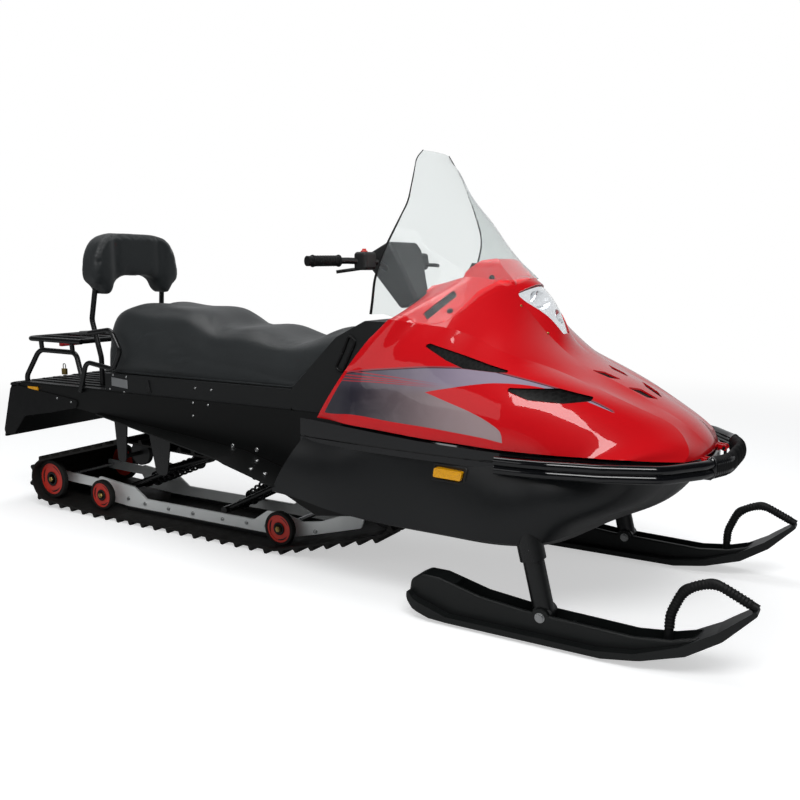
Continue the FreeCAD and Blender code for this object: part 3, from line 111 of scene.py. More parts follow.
def soft_box(name, place, aim, width, height, watts):
    """A studio soft box: an area lamp turned towards a point."""
    lamp = bpy.data.objects.new(name, bpy.data.lights.new(name, "AREA"))
    lamp.data.shape = "RECTANGLE"
    lamp.data.size, lamp.data.size_y = width, height
    lamp.data.energy = watts
    lamp.location = place
    lamp.rotation_euler = (Vector(aim) - Vector(place)).to_track_quat("-Z", "Y").to_euler()
    bpy.context.scene.collection.objects.link(lamp)
    return lamp


soft_box("key_box", (2.5, -2.9, 4.3), (0.6, 0.0, 0.6), 3.2, 1.7, 135)
soft_box("side_box", (-1.8, -4.8, 2.6), (-0.4, 0.0, 0.5), 4.0, 2.4, 22)
soft_box("top_box", (-0.8, 0.4, 4.6), (-0.2, 0.0, 0.6), 3.4, 2.0, 72)

world = bpy.data.worlds.new("studio_walls")
bpy.context.scene.world = world
world.use_nodes = True
wt = world.node_tree
wt.nodes.clear()
ray = add(wt, "ShaderNodeLightPath", {})
seen = add(wt, "ShaderNodeMath", {0: ray.outputs["Is Camera Ray"], 1: ray.outputs["Is Transmission Ray"]},
           operation="MAXIMUM")
away = (-math.sin(TURN), math.cos(TURN), 0.0)
looked_at = add(wt, "ShaderNodeTexCoord", {}).outputs["Generated"]
heading = add(wt, "ShaderNodeVectorMath", {0: looked_at, 1: away}, operation="DOT_PRODUCT")
behind = add(wt, "ShaderNodeMapRange",
             {"Value": heading.outputs["Value"], "From Min": 0.1, "From Max": 0.95,
              "To Min": 0.03, "To Max": 0.6}, interpolation_type="SMOOTHSTEP")
glossy = add(wt, "ShaderNodeMath", {0: ray.outputs["Is Glossy Ray"], 1: behind.outputs[0]},
             operation="MULTIPLY")
walls = add(wt, "ShaderNodeBackground", {"Color": linear("#F4F6F8"), "Strength": 0.34})
dark_side = add(wt, "ShaderNodeBackground", {"Color": linear("#F4F6F8"), "Strength": glossy.outputs[0]})
white = add(wt, "ShaderNodeBackground", {"Color": (1, 1, 1, 1), "Strength": 1.0})
mixed = add(wt, "ShaderNodeMixShader", {0: ray.outputs["Is Glossy Ray"], 1: walls.outputs[0],
                                        2: dark_side.outputs[0]})
mixed = add(wt, "ShaderNodeMixShader", {0: seen.outputs[0], 1: mixed.outputs[0], 2: white.outputs[0]})
add(wt, "ShaderNodeOutputWorld", {0: mixed.outputs[0]})

paper = bpy.data.materials.new("studio_paper")
paper.use_nodes = True
pt = paper.node_tree
pt.nodes.clear()
ray = add(pt, "ShaderNodeLightPath", {})
grain = add(pt, "ShaderNodeTexNoise", {"Scale": 3.0, "Detail": 2.0})
tone = add(pt, "ShaderNodeMix", {0: grain.outputs[0], 6: linear("#DCDDDE"), 7: linear("#E4E5E5")},
           data_type="RGBA")
seen = add(pt, "ShaderNodeMath", {0: ray.outputs["Is Camera Ray"], 1: ray.outputs["Is Transmission Ray"]},
           operation="MAXIMUM")
shown = add(pt, "ShaderNodeMath", {0: ray.outputs["Is Glossy Ray"], 1: 0.1, 2: seen.outputs[0]},
            operation="MULTIPLY_ADD", use_clamp=True)
glow = add(pt, "ShaderNodeMath", {0: shown.outputs[0], 1: 0.5}, operation="MULTIPLY")
dimmed = add(pt, "ShaderNodeMath", {0: ray.outputs["Is Glossy Ray"], 1: 0.55}, operation="MULTIPLY")
dim_tone = add(pt, "ShaderNodeMix", {0: dimmed.outputs[0], 6: tone.outputs[2], 7: linear("#202122")},
               data_type="RGBA")
matt = add(pt, "ShaderNodeBsdfDiffuse", {0: dim_tone.outputs[2]})
shine = add(pt, "ShaderNodeEmission", {0: (1, 1, 1, 1), 1: glow.outputs[0]})
both = add(pt, "ShaderNodeAddShader", {0: matt.outputs[0], 1: shine.outputs[0]})
far = add(pt, "ShaderNodeVectorMath", {0: add(pt, "ShaderNodeNewGeometry", {}).outputs["Position"]},
          operation="LENGTH")
sweep = add(pt, "ShaderNodeMapRange", {"Value": far.outputs["Value"], "From Min": 2.4, "From Max": 6.5},
            interpolation_type="SMOOTHSTEP")
plain = add(pt, "ShaderNodeEmission", {0: (1, 1, 1, 1), 1: 1.0})
fade = add(pt, "ShaderNodeMath", {0: sweep.outputs[0], 1: seen.outputs[0]}, operation="MULTIPLY")
paper_mix = add(pt, "ShaderNodeMixShader", {0: fade.outputs[0], 1: both.outputs[0], 2: plain.outputs[0]})
add(pt, "ShaderNodeOutputMaterial", {0: paper_mix.outputs[0]})


def floor_sheet(radius, rings, sides=48):
    """A round sheet of paper under the vehicle, drawn as rings of quads."""
    mesh = bpy.data.meshes.new("floor")
    bm = bmesh.new()
    angles = [a * math.tau / sides for a in range(sides)]
    loops = []
    for k in range(rings):
        reach = radius * ((k + 1) / rings) ** 2
        loops.append([bm.verts.new((reach * math.cos(a), reach * math.sin(a), 0)) for a in angles])
    bm.faces.new(loops[0])
    for inner, outer in zip(loops, loops[1:]):
        for a in range(sides):
            b = (a + 1) % sides
            bm.faces.new((inner[a], outer[a], outer[b], inner[b]))
    bm.to_mesh(mesh)
    sheet = bpy.data.objects.new("floor", mesh)
    bpy.context.scene.collection.objects.link(sheet)
    mesh.materials.append(paper)
    return sheet


floor_sheet(radius=60, rings=5)
bpy.context.scene.view_settings.view_transform = "Standard"

# %% [markdown]
# ## A finish from real numbers
# Nearly every part here is a moulded, painted or rubber surface. Each has a colour that drifts a
# little over a hand's width, a fine grain that breaks up its shine, and worn or dusty patches. So
# one function lays these over each other, and each material says its own sizes in millimetres.
# The pattern is placed by the object's own metres, so a scale is one over the size in metres.

# %% The layered finish


def finish(name, dark, light, patch_mm, grain_mm, relief_mm, smooth, rough, **fixed):
    """A material: two tones in patches, a fine relief, and a roughness that wanders."""
    material = bpy.data.materials.new(name)
    material.use_nodes = True
    tree = material.node_tree
    shader = tree.nodes["Principled BSDF"]
    place = add(tree, "ShaderNodeTexCoord", {}).outputs["Object"]
    patch = add(tree, "ShaderNodeTexNoise",
                {"Vector": place, "Scale": 1000 / patch_mm, "Detail": 4.0, "Roughness": 0.6})
    grain = add(tree, "ShaderNodeTexNoise",
                {"Vector": place, "Scale": 1000 / grain_mm, "Detail": 3.0, "Roughness": 0.55})
    tone = add(tree, "ShaderNodeMix", {0: patch.outputs[0], 6: linear(dark), 7: linear(light)},
               data_type="RGBA")
    sheen = add(tree, "ShaderNodeMapRange",
                {"Value": patch.outputs[0], "From Min": 0.3, "From Max": 0.7,
                 "To Min": smooth, "To Max": rough})
    relief = add(tree, "ShaderNodeBump",
                 {"Height": grain.outputs[0], "Distance": relief_mm / 1000, "Strength": 1.0})
    tree.links.new(tone.outputs[2], shader.inputs["Base Color"])
    tree.links.new(sheen.outputs[0], shader.inputs["Roughness"])
    tree.links.new(relief.outputs[0], shader.inputs["Normal"])
    for socket, value in fixed.items():
        shader.inputs[socket.replace("_", " ")].default_value = value
    return material


def wear(material, *names):
    """Gives the named CAD pieces this material."""
    for name in names:
        mesh = nodes[name].data
        mesh.materials.clear()
        mesh.materials.append(material)


print("finish ready")

# %% [markdown]
# ## Black parts
# Most of the machine is black, and what tells the parts apart is how they shine. Steel tube is
# powder coated: baked paint with a faint orange peel, satin. Sheet metal is rolled flat and sprayed.
# The belly pan is vacuum-formed polyethylene, softer in its shine than the moulded ABS trim. The
# seat base and tank are rotationally moulded, with a grain left by the mould.

# %% Powder coat, painted sheet and moulded plastics
powder_coat = finish("powder_coated_steel", "#0A0B0C", "#101112", 90, 1.2, 0.02, 0.24, 0.34,
                     IOR=1.5, Coat_Weight=0.15, Coat_Roughness=0.2)
painted_sheet = finish("painted_sheet_metal", "#050606", "#090A0A", 160, 1.6, 0.015, 0.36, 0.46, IOR=1.5,
                       Specular_IOR_Level=0.35)
gloss_abs = finish("gloss_black_abs", "#08090B", "#0C0D10", 120, 2.5, 0.006, 0.07, 0.13,
                   IOR=1.53, Coat_Weight=0.3, Coat_Roughness=0.05)
belly_pe = finish("formed_polyethylene", "#0B0D0F", "#101214", 140, 2.0, 0.02, 0.3, 0.4, IOR=1.5)
moulded_pe = finish("moulded_polyethylene", "#0D0F10", "#131516", 120, 1.4, 0.05, 0.42, 0.55, IOR=1.5)
textured_abs = finish("textured_black_abs", "#0D0E0F", "#131415", 60, 1.0, 0.05, 0.42, 0.56, IOR=1.53)
ski_pe = finish("ski_polyethylene", "#0A0D0D", "#101313", 110, 1.8, 0.03, 0.34, 0.46, IOR=1.51)

wear(powder_coat, "swing_arms", "suspension_brackets", "shocks", "hood_hinges", "leg_struts",
     "backrest_posts", "rear_rack", "grab_rails", "tow_hitch", "handlebar", "leg_right", "leg_left")
wear(painted_sheet, "tunnel", "running_boards")
wear(gloss_abs, "belly_rim", "front_bumper")
wear(belly_pe, "belly_pan")
wear(moulded_pe, "seat_base", "fuel_tank", "tail_deck")
wear(textured_abs, "slide_shoes", "carrier_rollers", "drive_axle", "gauge_panel", "control_pods",
     "bar_pad", "levers")
wear(ski_pe, "ski_right", "ski_left")
print("black finishes:", 7)

# %% [markdown]
# ## Rubber
# The track belt and the wheel rings are black rubber filled with soot. It never shines much, turns
# grey-brown where dust settles, and the belt keeps the fine cloth print of the press it was cured
# in. The ski loops and the flap are softer rubber, a little darker.

# %% Belt rubber and loop rubber
belt_rubber = finish("belt_rubber", "#121110", "#1C1A18", 45, 2.2, 0.12, 0.62, 0.82,
                     IOR=1.52, Specular_IOR_Level=0.35)
soft_rubber = finish("soft_rubber", "#0A0B0C", "#0F1011", 50, 1.2, 0.05, 0.5, 0.64,
                     IOR=1.52, Specular_IOR_Level=0.3)
wear(belt_rubber, "track_loop", "wheel_rings")
wear(soft_rubber, "snow_flap", "grips", "ski_loop_right", "ski_loop_left")

# %% [markdown]
# ## Metals
# The slide rails are aluminium, coated in a light silver. Axles, bolts and ski runners are
# zinc-plated or bare steel, rubbed by use, and the type plate is anodised aluminium. A metal keeps
# its default IOR: its colour and roughness say the rest.

# %% Aluminium, zinc and spring steel
anodised = finish("anodised_aluminium", "#B4B6B8", "#C3C5C6", 130, 0.8, 0.01, 0.42, 0.52, Metallic=1.0)
zinc = finish("zinc_plated_steel", "#B9BBBD", "#D4D5D4", 18, 0.8, 0.01, 0.24, 0.4, Metallic=1.0)
engine_cast = finish("cast_engine_alloy", "#6E7072", "#83868A", 60, 2.0, 0.2, 0.5, 0.66, Metallic=1.0)
spring_paint = finish("painted_spring", "#121314", "#1A1B1C", 30, 1.0, 0.02, 0.26, 0.36, IOR=1.5)
yellow_zinc = finish("yellow_zinc_steel", "#B59A55", "#CDB473", 12, 0.8, 0.01, 0.28, 0.42, Metallic=1.0)
zinc_black = finish("black_zinc_steel", "#1A1A1B", "#262627", 10, 0.8, 0.01, 0.3, 0.42, Metallic=1.0)
# The silver is painted almost white, lighter than the coat itself, as painted light for rails that sit in
# the tunnel's shade.
rail_silver_with_painted_light = finish("silver_coat_with_painted_light", "#E6E9E8", "#F2F4F3", 130, 0.9, 0.015, 0.42, 0.52,
                     Metallic=0.1, IOR=1.5)
wear(rail_silver_with_painted_light, "slide_rails")
wear(zinc, "wheel_axles", "ski_bolt_right", "ski_bolt_left", "ski_runner_right", "ski_runner_left")
wear(engine_cast, "engine_block")
wear(spring_paint, "springs")

# %% [markdown]
# ## Red wheel discs and lamps
# The small wheels are red polyamide, moulded and a little faded. Tail lamp and side reflectors are
# acrylic with rows of tiny prisms behind a smooth face: the prisms are drawn as a relief of small
# cells, 3 mm across so that they show.

# %% Wheel red, red and amber lenses
wheel_red = finish("red_polyamide", "#B02418", "#C83224", 30, 1.2, 0.02, 0.34, 0.46, IOR=1.53)
wear(wheel_red, "wheel_discs")


def prism_lens(name, deep, bright):
    """Coloured acrylic with a grid of prisms under its face."""
    material = finish(name, deep, bright, 14, 3.0, 0.0, 0.08, 0.14, IOR=1.49, Coat_Weight=0.6)
    tree = material.node_tree
    shader = tree.nodes["Principled BSDF"]
    place = add(tree, "ShaderNodeTexCoord", {}).outputs["Object"]
    cells = add(tree, "ShaderNodeTexVoronoi", {"Vector": place, "Scale": 1000 / 3.0}, feature="F1")
    tone = add(tree, "ShaderNodeMix", {0: cells.outputs[0], 6: linear(bright), 7: linear(deep)},
               data_type="RGBA")
    bump = add(tree, "ShaderNodeBump", {"Height": cells.outputs[0], "Distance": 0.0006, "Strength": 0.7})
    tree.links.new(tone.outputs[2], shader.inputs["Base Color"])
    tree.links.new(bump.outputs[0], shader.inputs["Normal"])
    return material


wear(prism_lens("red_lamp_acrylic", "#8E0C10", "#C81A1E"), "tail_lamp")
wear(prism_lens("amber_reflector_acrylic", "#C88400", "#F8B400"), "reflectors")

# %% [markdown]
# ## The hood's paint and its swoosh
# The hood is moulded ABS, sprayed red and lacquered: deep colour under a clear coat, with a very
# faint orange peel. On the outside of each flank a printed swoosh runs from the rear edge to the
# lower vent: lilac silver above, dark grey below, with a wedge of red cutting in from the front.
# Its edges are drawn here as curves over x. Their height is z less 0.6 of the distance from the
# middle, which grows steadily from the hem to the crown, so one number says how far up the flank a
# point is.

# %% Paint the hood
SWOOSH_TOP = ((0.20, 0.455), (0.32, 0.488), (0.40, 0.501), (0.55, 0.520), (0.68, 0.536), (0.81, 0.545),
              (0.93, 0.537), (1.04, 0.529), (1.12, 0.519), (1.17, 0.505), (1.20, 0.492))
SWOOSH_LOW = ((0.20, 0.361), (0.41, 0.349), (0.56, 0.336), (0.71, 0.325), (0.84, 0.314), (0.92, 0.305),
              (1.20, 0.300))
WEDGE_TOP = ((0.20, 0.300), (0.640, 0.440), (0.66, 0.447), (0.73, 0.465), (0.81, 0.486), (0.88, 0.502),
             (1.02, 0.518), (1.09, 0.512), (1.155, 0.501), (1.20, 0.492))
WEDGE_LOW = ((0.20, 0.690), (0.635, 0.446), (0.66, 0.438), (0.74, 0.411), (0.80, 0.391), (0.87, 0.360),
             (0.905, 0.335), (0.915, 0.29), (1.20, 0.27))
SPAN, LOW, HIGH = (0.20, 1.20), 0.25, 0.70

hood_paint = finish("lacquered_red_abs", "#C60611", "#D20915", 300, 5.0, 0.008, 0.34, 0.40,
                    IOR=1.5, Specular_IOR_Level=0.1, Coat_Weight=1.0, Coat_Roughness=0.03, Coat_IOR=1.5)
ht = hood_paint.node_tree
place = add(ht, "ShaderNodeTexCoord", {}).outputs["Object"]
axes = add(ht, "ShaderNodeSeparateXYZ", {0: place})
off = add(ht, "ShaderNodeMath", {0: axes.outputs[1]}, operation="ABSOLUTE")
flank = add(ht, "ShaderNodeMath", {0: off.outputs[0], 1: -0.6, 2: axes.outputs[2]},
            operation="MULTIPLY_ADD")
along = add(ht, "ShaderNodeMapRange",
            {"Value": axes.outputs[0], "From Min": SPAN[0], "From Max": SPAN[1]})


def drawn_edge(points):
    """The height of a drawn line of the swoosh at each place along the hood."""
    made = add(ht, "ShaderNodeFloatCurve", {1: along.outputs[0]})
    line = made.mapping.curves[0]
    spots = [((x - SPAN[0]) / (SPAN[1] - SPAN[0]), (h - LOW) / (HIGH - LOW)) for x, h in points]
    line.points[0].location = spots[0]
    line.points[1].location = spots[-1]
    for spot in spots[1:-1]:
        line.points.new(*spot)
    made.mapping.update()
    return add(ht, "ShaderNodeMapRange",
               {"Value": made.outputs[0], "To Min": LOW, "To Max": HIGH}).outputs[0]


def within(a, b, soft=0.0008):
    """1 where a is above b, 0 where it is below, with an edge as soft as print."""
    gap = add(ht, "ShaderNodeMath", {0: a, 1: b}, operation="SUBTRACT").outputs[0]
    return add(ht, "ShaderNodeMapRange", {"Value": gap, "From Min": -soft, "From Max": soft}).outputs[0]


def times(a, b):
    """Where both masks hold."""
    return add(ht, "ShaderNodeMath", {0: a, 1: b}, operation="MULTIPLY").outputs[0]


def over(share, below, above):
    """One colour laid over another by a mask."""
    return add(ht, "ShaderNodeMix", {0: share, 6: below, 7: above}, data_type="RGBA").outputs[2]


height = flank.outputs[0]
top, low = drawn_edge(SWOOSH_TOP), drawn_edge(SWOOSH_LOW)
wedge_top, wedge_low = drawn_edge(WEDGE_TOP), drawn_edge(WEDGE_LOW)
rear_line = add(ht, "ShaderNodeMath", {0: axes.outputs[2], 1: 0.684, 2: -0.160},
                operation="MULTIPLY_ADD").outputs[0]
facing = add(ht, "ShaderNodeSeparateXYZ", {0: add(ht, "ShaderNodeNewGeometry", {}).outputs["Normal"]})
outward = add(ht, "ShaderNodeMath", {0: facing.outputs[1], 1: axes.outputs[1]},
              operation="MULTIPLY").outputs[0]
on_side = times(within(axes.outputs[0], rear_line), within(outward, 0.0))
front_end = within(1.185, axes.outputs[0], 0.004)
body = times(times(within(top, height), within(height, low)), times(on_side, front_end))
wedge = times(within(wedge_top, height), within(height, wedge_low))
keep = add(ht, "ShaderNodeMath", {0: 1.0, 1: wedge}, operation="SUBTRACT").outputs[0]
print_area = times(body, keep)

forward = add(ht, "ShaderNodeMapRange", {"Value": axes.outputs[0], "From Min": 0.35, "From Max": 0.88},
              interpolation_type="SMOOTHSTEP").outputs[0]
upward = add(ht, "ShaderNodeMapRange", {"Value": height, "From Min": 0.425, "From Max": 0.485},
             interpolation_type="SMOOTHSTEP").outputs[0]
smoke = add(ht, "ShaderNodeTexNoise", {"Vector": place, "Scale": 9.0, "Detail": 3.0, "Distortion": 1.2})
lower = over(forward, linear("#2B2933"), linear("#A08C8E"))
upper = over(forward, linear("#4A4652"), linear("#978B9E"))
tint = over(upward, lower, upper)
haze = add(ht, "ShaderNodeMapRange", {"Value": smoke.outputs[0], "From Min": 0.45, "From Max": 0.8,
                                      "To Max": 0.14}).outputs[0]
tint = over(haze, tint, linear("#A79AA0"))

below_top = add(ht, "ShaderNodeMath", {0: top, 1: 0.0035}, operation="SUBTRACT").outputs[0]
edge_dark = times(within(height, below_top), print_area)
tint = over(edge_dark, tint, linear("#26222B"))
for start, drop, width in ((0.484, 0.050, 0.0022), (0.497, 0.075, 0.0018), (0.475, 0.030, 0.0020),
                           (0.466, 0.014, 0.0016)):
    line = add(ht, "ShaderNodeMath", {0: along.outputs[0], 1: -drop, 2: start + drop * 0.2},
               operation="MULTIPLY_ADD").outputs[0]
    gap = add(ht, "ShaderNodeMath", {0: height, 1: line}, operation="SUBTRACT").outputs[0]
    near = add(ht, "ShaderNodeMath", {0: gap}, operation="ABSOLUTE").outputs[0]
    thread = add(ht, "ShaderNodeMapRange",
                 {"Value": near, "From Min": width * 1.5, "From Max": width * 0.4}).outputs[0]
    fade = add(ht, "ShaderNodeMapRange",
               {"Value": axes.outputs[0], "From Min": 0.70, "From Max": 0.50}).outputs[0]
    tint = over(times(thread, fade), tint, linear("#B0343C"))

above_top = add(ht, "ShaderNodeMath", {0: top, 1: 0.005}, operation="ADD").outputs[0]
halo = times(times(within(above_top, height), within(height, top)), times(on_side, front_end))
hood_shader = ht.nodes["Principled BSDF"]
red = hood_shader.inputs["Base Color"].links[0].from_socket
colour = over(times(halo, 0.8), red, linear("#8A4A52"))
colour = over(print_area, colour, tint)
ht.links.new(colour, hood_shader.inputs["Base Color"])
wear(hood_paint, "hood_shell", "dash_cowl")
print("swoosh from x", SWOOSH_TOP[0][0], "to", SWOOSH_TOP[-1][0])

# %% [markdown]
# ## Vent mesh
# Behind each vent sits expanded steel mesh, dipped in black paint. Its diamonds are 7 mm long. In
# a plate as thin as a grille they are drawn rather than cut: two sets of slanted stripes cross,
# and what lies between them is painted near black, as painted shade for the dark seen through a hole.

# %% Expanded mesh
mesh_steel = finish("expanded_black_mesh", "#0B0B0B", "#131313", 40, 1.5, 0.02, 0.4, 0.55, IOR=1.5,
                    Specular_IOR_Level=0.2)
DIAMOND_MM = 7.0
mt = mesh_steel.node_tree
place = add(mt, "ShaderNodeTexCoord", {}).outputs["Object"]
strands = []
for turn in (0.5, -0.5):
    turned = add(mt, "ShaderNodeMapping", {"Vector": place, "Rotation": (0.3, turn, 0.4)})
    wave = add(mt, "ShaderNodeTexWave",
               {"Vector": turned.outputs[0], "Scale": 1000 / DIAMOND_MM / 6.283}, bands_direction="X")
    strand = add(mt, "ShaderNodeMath", {0: wave.outputs[1], 1: 0.72}, operation="GREATER_THAN")
    strands.append(strand.outputs[0])
wire = add(mt, "ShaderNodeMath", {0: strands[0], 1: strands[1]}, operation="MAXIMUM").outputs[0]
shader = mt.nodes["Principled BSDF"]
paint = shader.inputs["Base Color"].links[0].from_socket
# The holes are painted shade: near black instead of an opening into the dark behind the mesh.
hole_shade = add(mt, "ShaderNodeMix", {0: wire, 6: linear("#030303"), 7: paint}, data_type="RGBA")
mt.links.new(hole_shade.outputs[2], shader.inputs["Base Color"])
relief = add(mt, "ShaderNodeBump", {"Height": wire, "Distance": 0.0012, "Strength": 0.8})
mt.links.new(relief.outputs[0], shader.inputs["Normal"])
wear(mesh_steel, "hood_grilles")

# %% [markdown]
# ## Clear parts
# The screen is a bent sheet of polycarbonate: hard-coated, nearly colourless, with a slight grey
# where one looks through more of it. Lamps have to shine through it as well as sight, so its
# shadow is let through by Light Path. Two plain walls would bend and mirror too much, so its index
# is set low. The lens of the headlamp is clear too, and the bowl behind it is polycarbonate with a
# vapour of aluminium.

# %% Polycarbonate and the lamp's bowl


def clear_sheet(name, tone, smooth, rough, haze):
    """A clear moulded sheet that lets lamps through and keeps its reflections."""
    material = finish(name, tone, tone, 200, 4.0, 0.0, smooth, rough, IOR=1.12, Transmission_Weight=1.0)
    tree = material.node_tree
    shader = tree.nodes["Principled BSDF"]
    for link in list(shader.inputs["Normal"].links):
        tree.links.remove(link)
    ray = add(tree, "ShaderNodeLightPath", {})
    through = add(tree, "ShaderNodeBsdfTransparent", {0: linear(tone)})
    veil = add(tree, "ShaderNodeBsdfDiffuse", {0: linear("#C9CDD0")})
    film = add(tree, "ShaderNodeMixShader", {0: haze, 1: shader.outputs[0], 2: veil.outputs[0]})
    mixed = add(tree, "ShaderNodeMixShader",
                {0: ray.outputs["Is Shadow Ray"], 1: film.outputs[0], 2: through.outputs[0]})
    tree.links.new(mixed.outputs[0], tree.nodes["Material Output"].inputs[0])
    return material


wear(clear_sheet("clear_polycarbonate", "#E8ECEB", 0.01, 0.03, 0.05), "windscreen")
wear(clear_sheet("lamp_polycarbonate", "#FAFBFC", 0.01, 0.02, 0.02), "headlamp_lens")
lamp_bowl = finish("aluminised_bowl", "#D8DADC", "#E8E9EA", 25, 6.0, 0.02, 0.08, 0.16, Metallic=1.0)
wear(lamp_bowl, "headlamp")
print("clear parts done")

# %% [markdown]
# ## Upholstery vinyl
# Seat and backrest are covered in coated cloth, embossed with a leather grain of about 2 mm. It
# is black with a soft grey sheen where light grazes it. The grain is drawn by cells whose edges
# make shallow valleys.

# %% Vinyl
vinyl = finish("upholstery_vinyl", "#171B1D", "#1E2325", 120, 1.5, 0.0, 0.4, 0.5, IOR=1.5,
               Sheen_Weight=0.12, Sheen_Roughness=0.5)
vt = vinyl.node_tree
place = add(vt, "ShaderNodeTexCoord", {}).outputs["Object"]
pebble = add(vt, "ShaderNodeTexVoronoi", {"Vector": place, "Scale": 1000 / 2.2}, feature="DISTANCE_TO_EDGE")
valley = add(vt, "ShaderNodeMapRange", {"Value": pebble.outputs[0], "From Max": 0.25})
crease = add(vt, "ShaderNodeTexNoise", {"Vector": place, "Scale": 14.0, "Detail": 3.0})
mound = add(vt, "ShaderNodeMath", {0: crease.outputs[0], 1: 6.0, 2: valley.outputs[0]},
            operation="MULTIPLY_ADD")
emboss = add(vt, "ShaderNodeBump", {"Height": mound.outputs[0], "Distance": 0.00012, "Strength": 1.0})
vt.links.new(emboss.outputs[0], vt.nodes["Principled BSDF"].inputs["Normal"])
print("vinyl grain 2.2 mm")

# %% [markdown]
# ## Seat and backrest covers
# A cushion is foam in a sewn cover: it crowns between its edges and pulls in at the seams. The
# CAD solid gives its space. It is remeshed into even quads, blown up a little with cloth pressure,
# and each point is held to within a few millimetres of where it began, so the cover stays clear
# of its neighbours. Then it is shaded smooth.

# %% Blow up a cushion


def stuffed_cover(node, name, voxel, shrink, cap, hold_below):
    """A cover blown up from a CAD cushion, held down below a height."""
    mesh = nodes[node].data.copy()
    cover = bpy.data.objects.new(name, mesh)
    bpy.context.scene.collection.objects.link(cover)
    bpy.context.view_layer.objects.active = cover
    cover.select_set(True)
    remesh = cover.modifiers.new("even_quads", "REMESH")
    remesh.mode = "VOXEL"
    remesh.voxel_size = voxel
    soften = cover.modifiers.new("soften", "SMOOTH")
    soften.iterations = 6
    depsgraph = bpy.context.evaluated_depsgraph_get()
    even = bpy.data.meshes.new_from_object(cover.evaluated_get(depsgraph))
    cover.modifiers.clear()
    cover.data = even
    even.name = name
    for vert in even.vertices:
        vert.co -= vert.normal * shrink
    rest = np.array([v.co for v in even.vertices])
    held = cover.vertex_groups.new(name="held")
    for vert in even.vertices:
        if vert.co.z < hold_below:
            held.add([vert.index], 1.0, "REPLACE")
    cloth = cover.modifiers.new("pressure", "CLOTH")
    cloth.settings.use_pressure = True
    cloth.settings.uniform_pressure_force = 4.0
    cloth.settings.effector_weights.gravity = 0.0
    cloth.settings.vertex_group_mass = "held"
    cloth.settings.quality = 4
    cloth.point_cache.frame_start, cloth.point_cache.frame_end = 1, 20
    for step in range(1, 21):
        bpy.context.scene.frame_set(step)
    depsgraph = bpy.context.evaluated_depsgraph_get()
    blown = bpy.data.meshes.new_from_object(cover.evaluated_get(depsgraph))
    moved = np.array([v.co for v in blown.vertices]) - rest
    cover.modifiers.clear()
    cover.vertex_groups.clear()
    bpy.context.scene.frame_set(1)
    far = np.maximum(np.linalg.norm(moved, axis=1, keepdims=True), 1e-9)
    rest = rest + moved * np.minimum(1.0, cap / far)
    even.vertices.foreach_set("co", rest.ravel())
    even.polygons.foreach_set("use_smooth", [True] * len(even.polygons))
    even.materials.clear()
    even.materials.append(vinyl)
    even.update()
    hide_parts(node)
    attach(cover, "chassis")
    print(name, "quads:", len(even.polygons))
    return cover


seat_cover = stuffed_cover("seat_cushion", "seat_cover", 0.008, 0.004, 0.007, 0.665)
pad_cover = stuffed_cover("backrest_pad", "backrest_cover", 0.006, 0.005, 0.008, 0.0)


def sew_folds(cover, at, depth, half_width):
    """Presses upright sewn folds into a pad's front and lets its middle sit back between them."""
    front = max(v.co.x for v in cover.data.vertices)
    for vert in cover.data.vertices:
        share = min(1.0, max(0.0, (vert.co.x - front + 0.062) / 0.04))
        off = abs(vert.co.y) - at
        fold = math.exp(-(off / half_width) ** 2)
        middle = 1 / (1 + math.exp(off / half_width * 2.2))
        vert.co.x -= share * (depth * 0.7 * fold + depth * middle)
    cover.data.update()


sew_folds(pad_cover, 0.130, 0.009, 0.022)
print("pad folds 9 mm deep")

# %% [markdown]
# ## Fasteners
# Rivets and screws hold the sheet metal together. Each is lathed from a few rings: a flange, a
# rounded head, and for a screw a socket in its middle. They are made once per row and copied to
# both sides, because the machine is the same left and right.

# %% Lathe small heads


def lathe(bm, at, axis, profile, segments=20):
    """Turns a profile of (distance along the axis, radius) round an axis, closed at both ends."""
    turn = Vector(axis).to_track_quat("Z", "Y").to_matrix().to_4x4()
    turn.translation = Vector(at)
    loops = []
    for along_axis, radius in profile:
        loops.append([bm.verts.new(turn @ Vector((radius * math.cos(a * math.tau / segments),
                                                  radius * math.sin(a * math.tau / segments), along_axis)))
                      for a in range(segments)])
    for lower_loop, upper_loop in zip(loops, loops[1:]):
        for a in range(segments):
            b = (a + 1) % segments
            bm.faces.new((lower_loop[a], lower_loop[b], upper_loop[b], upper_loop[a]))
    bm.faces.new(list(reversed(loops[0])))
    bm.faces.new(loops[-1])


def new_piece(name, bm, material, rides, smooth=True):
    """Turns what was drawn into a piece that rides on a body."""
    bmesh.ops.recalc_face_normals(bm, faces=bm.faces)
    mesh = bpy.data.meshes.new(name)
    bm.to_mesh(mesh)
    bm.free()
    if smooth:
        mesh.polygons.foreach_set("use_smooth", [True] * len(mesh.polygons))
    mesh.materials.append(material)
    piece = bpy.data.objects.new(name, mesh)
    bpy.context.scene.collection.objects.link(piece)
    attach(piece, rides)
    return piece


RIVET = ((-0.001, 0.0050), (0.0005, 0.0052), (0.0014, 0.0046), (0.0026, 0.0030), (0.0030, 0.0010))
SCREW = ((-0.001, 0.0085), (0.0012, 0.0088), (0.0034, 0.0080), (0.0042, 0.0060), (0.0042, 0.0036),
         (0.0022, 0.0034), (0.0020, 0.0008))
TUNNEL_SIDE, BASE_SIDE, FLAP_SIDE = 0.280, 0.274, 0.2863
side_rivets = [(-0.450, BASE_SIDE, 0.619), (-0.368, BASE_SIDE, 0.617), (-0.458, TUNNEL_SIDE, 0.561),
               (-0.381, TUNNEL_SIDE, 0.559), (-0.460, TUNNEL_SIDE, 0.510), (-0.902, BASE_SIDE, 0.642),
               (-0.826, BASE_SIDE, 0.638), (-0.924, BASE_SIDE, 0.582), (-0.842, BASE_SIDE, 0.575),
               (-1.243, FLAP_SIDE, 0.521), (-1.155, FLAP_SIDE, 0.511)]
bm = bmesh.new()
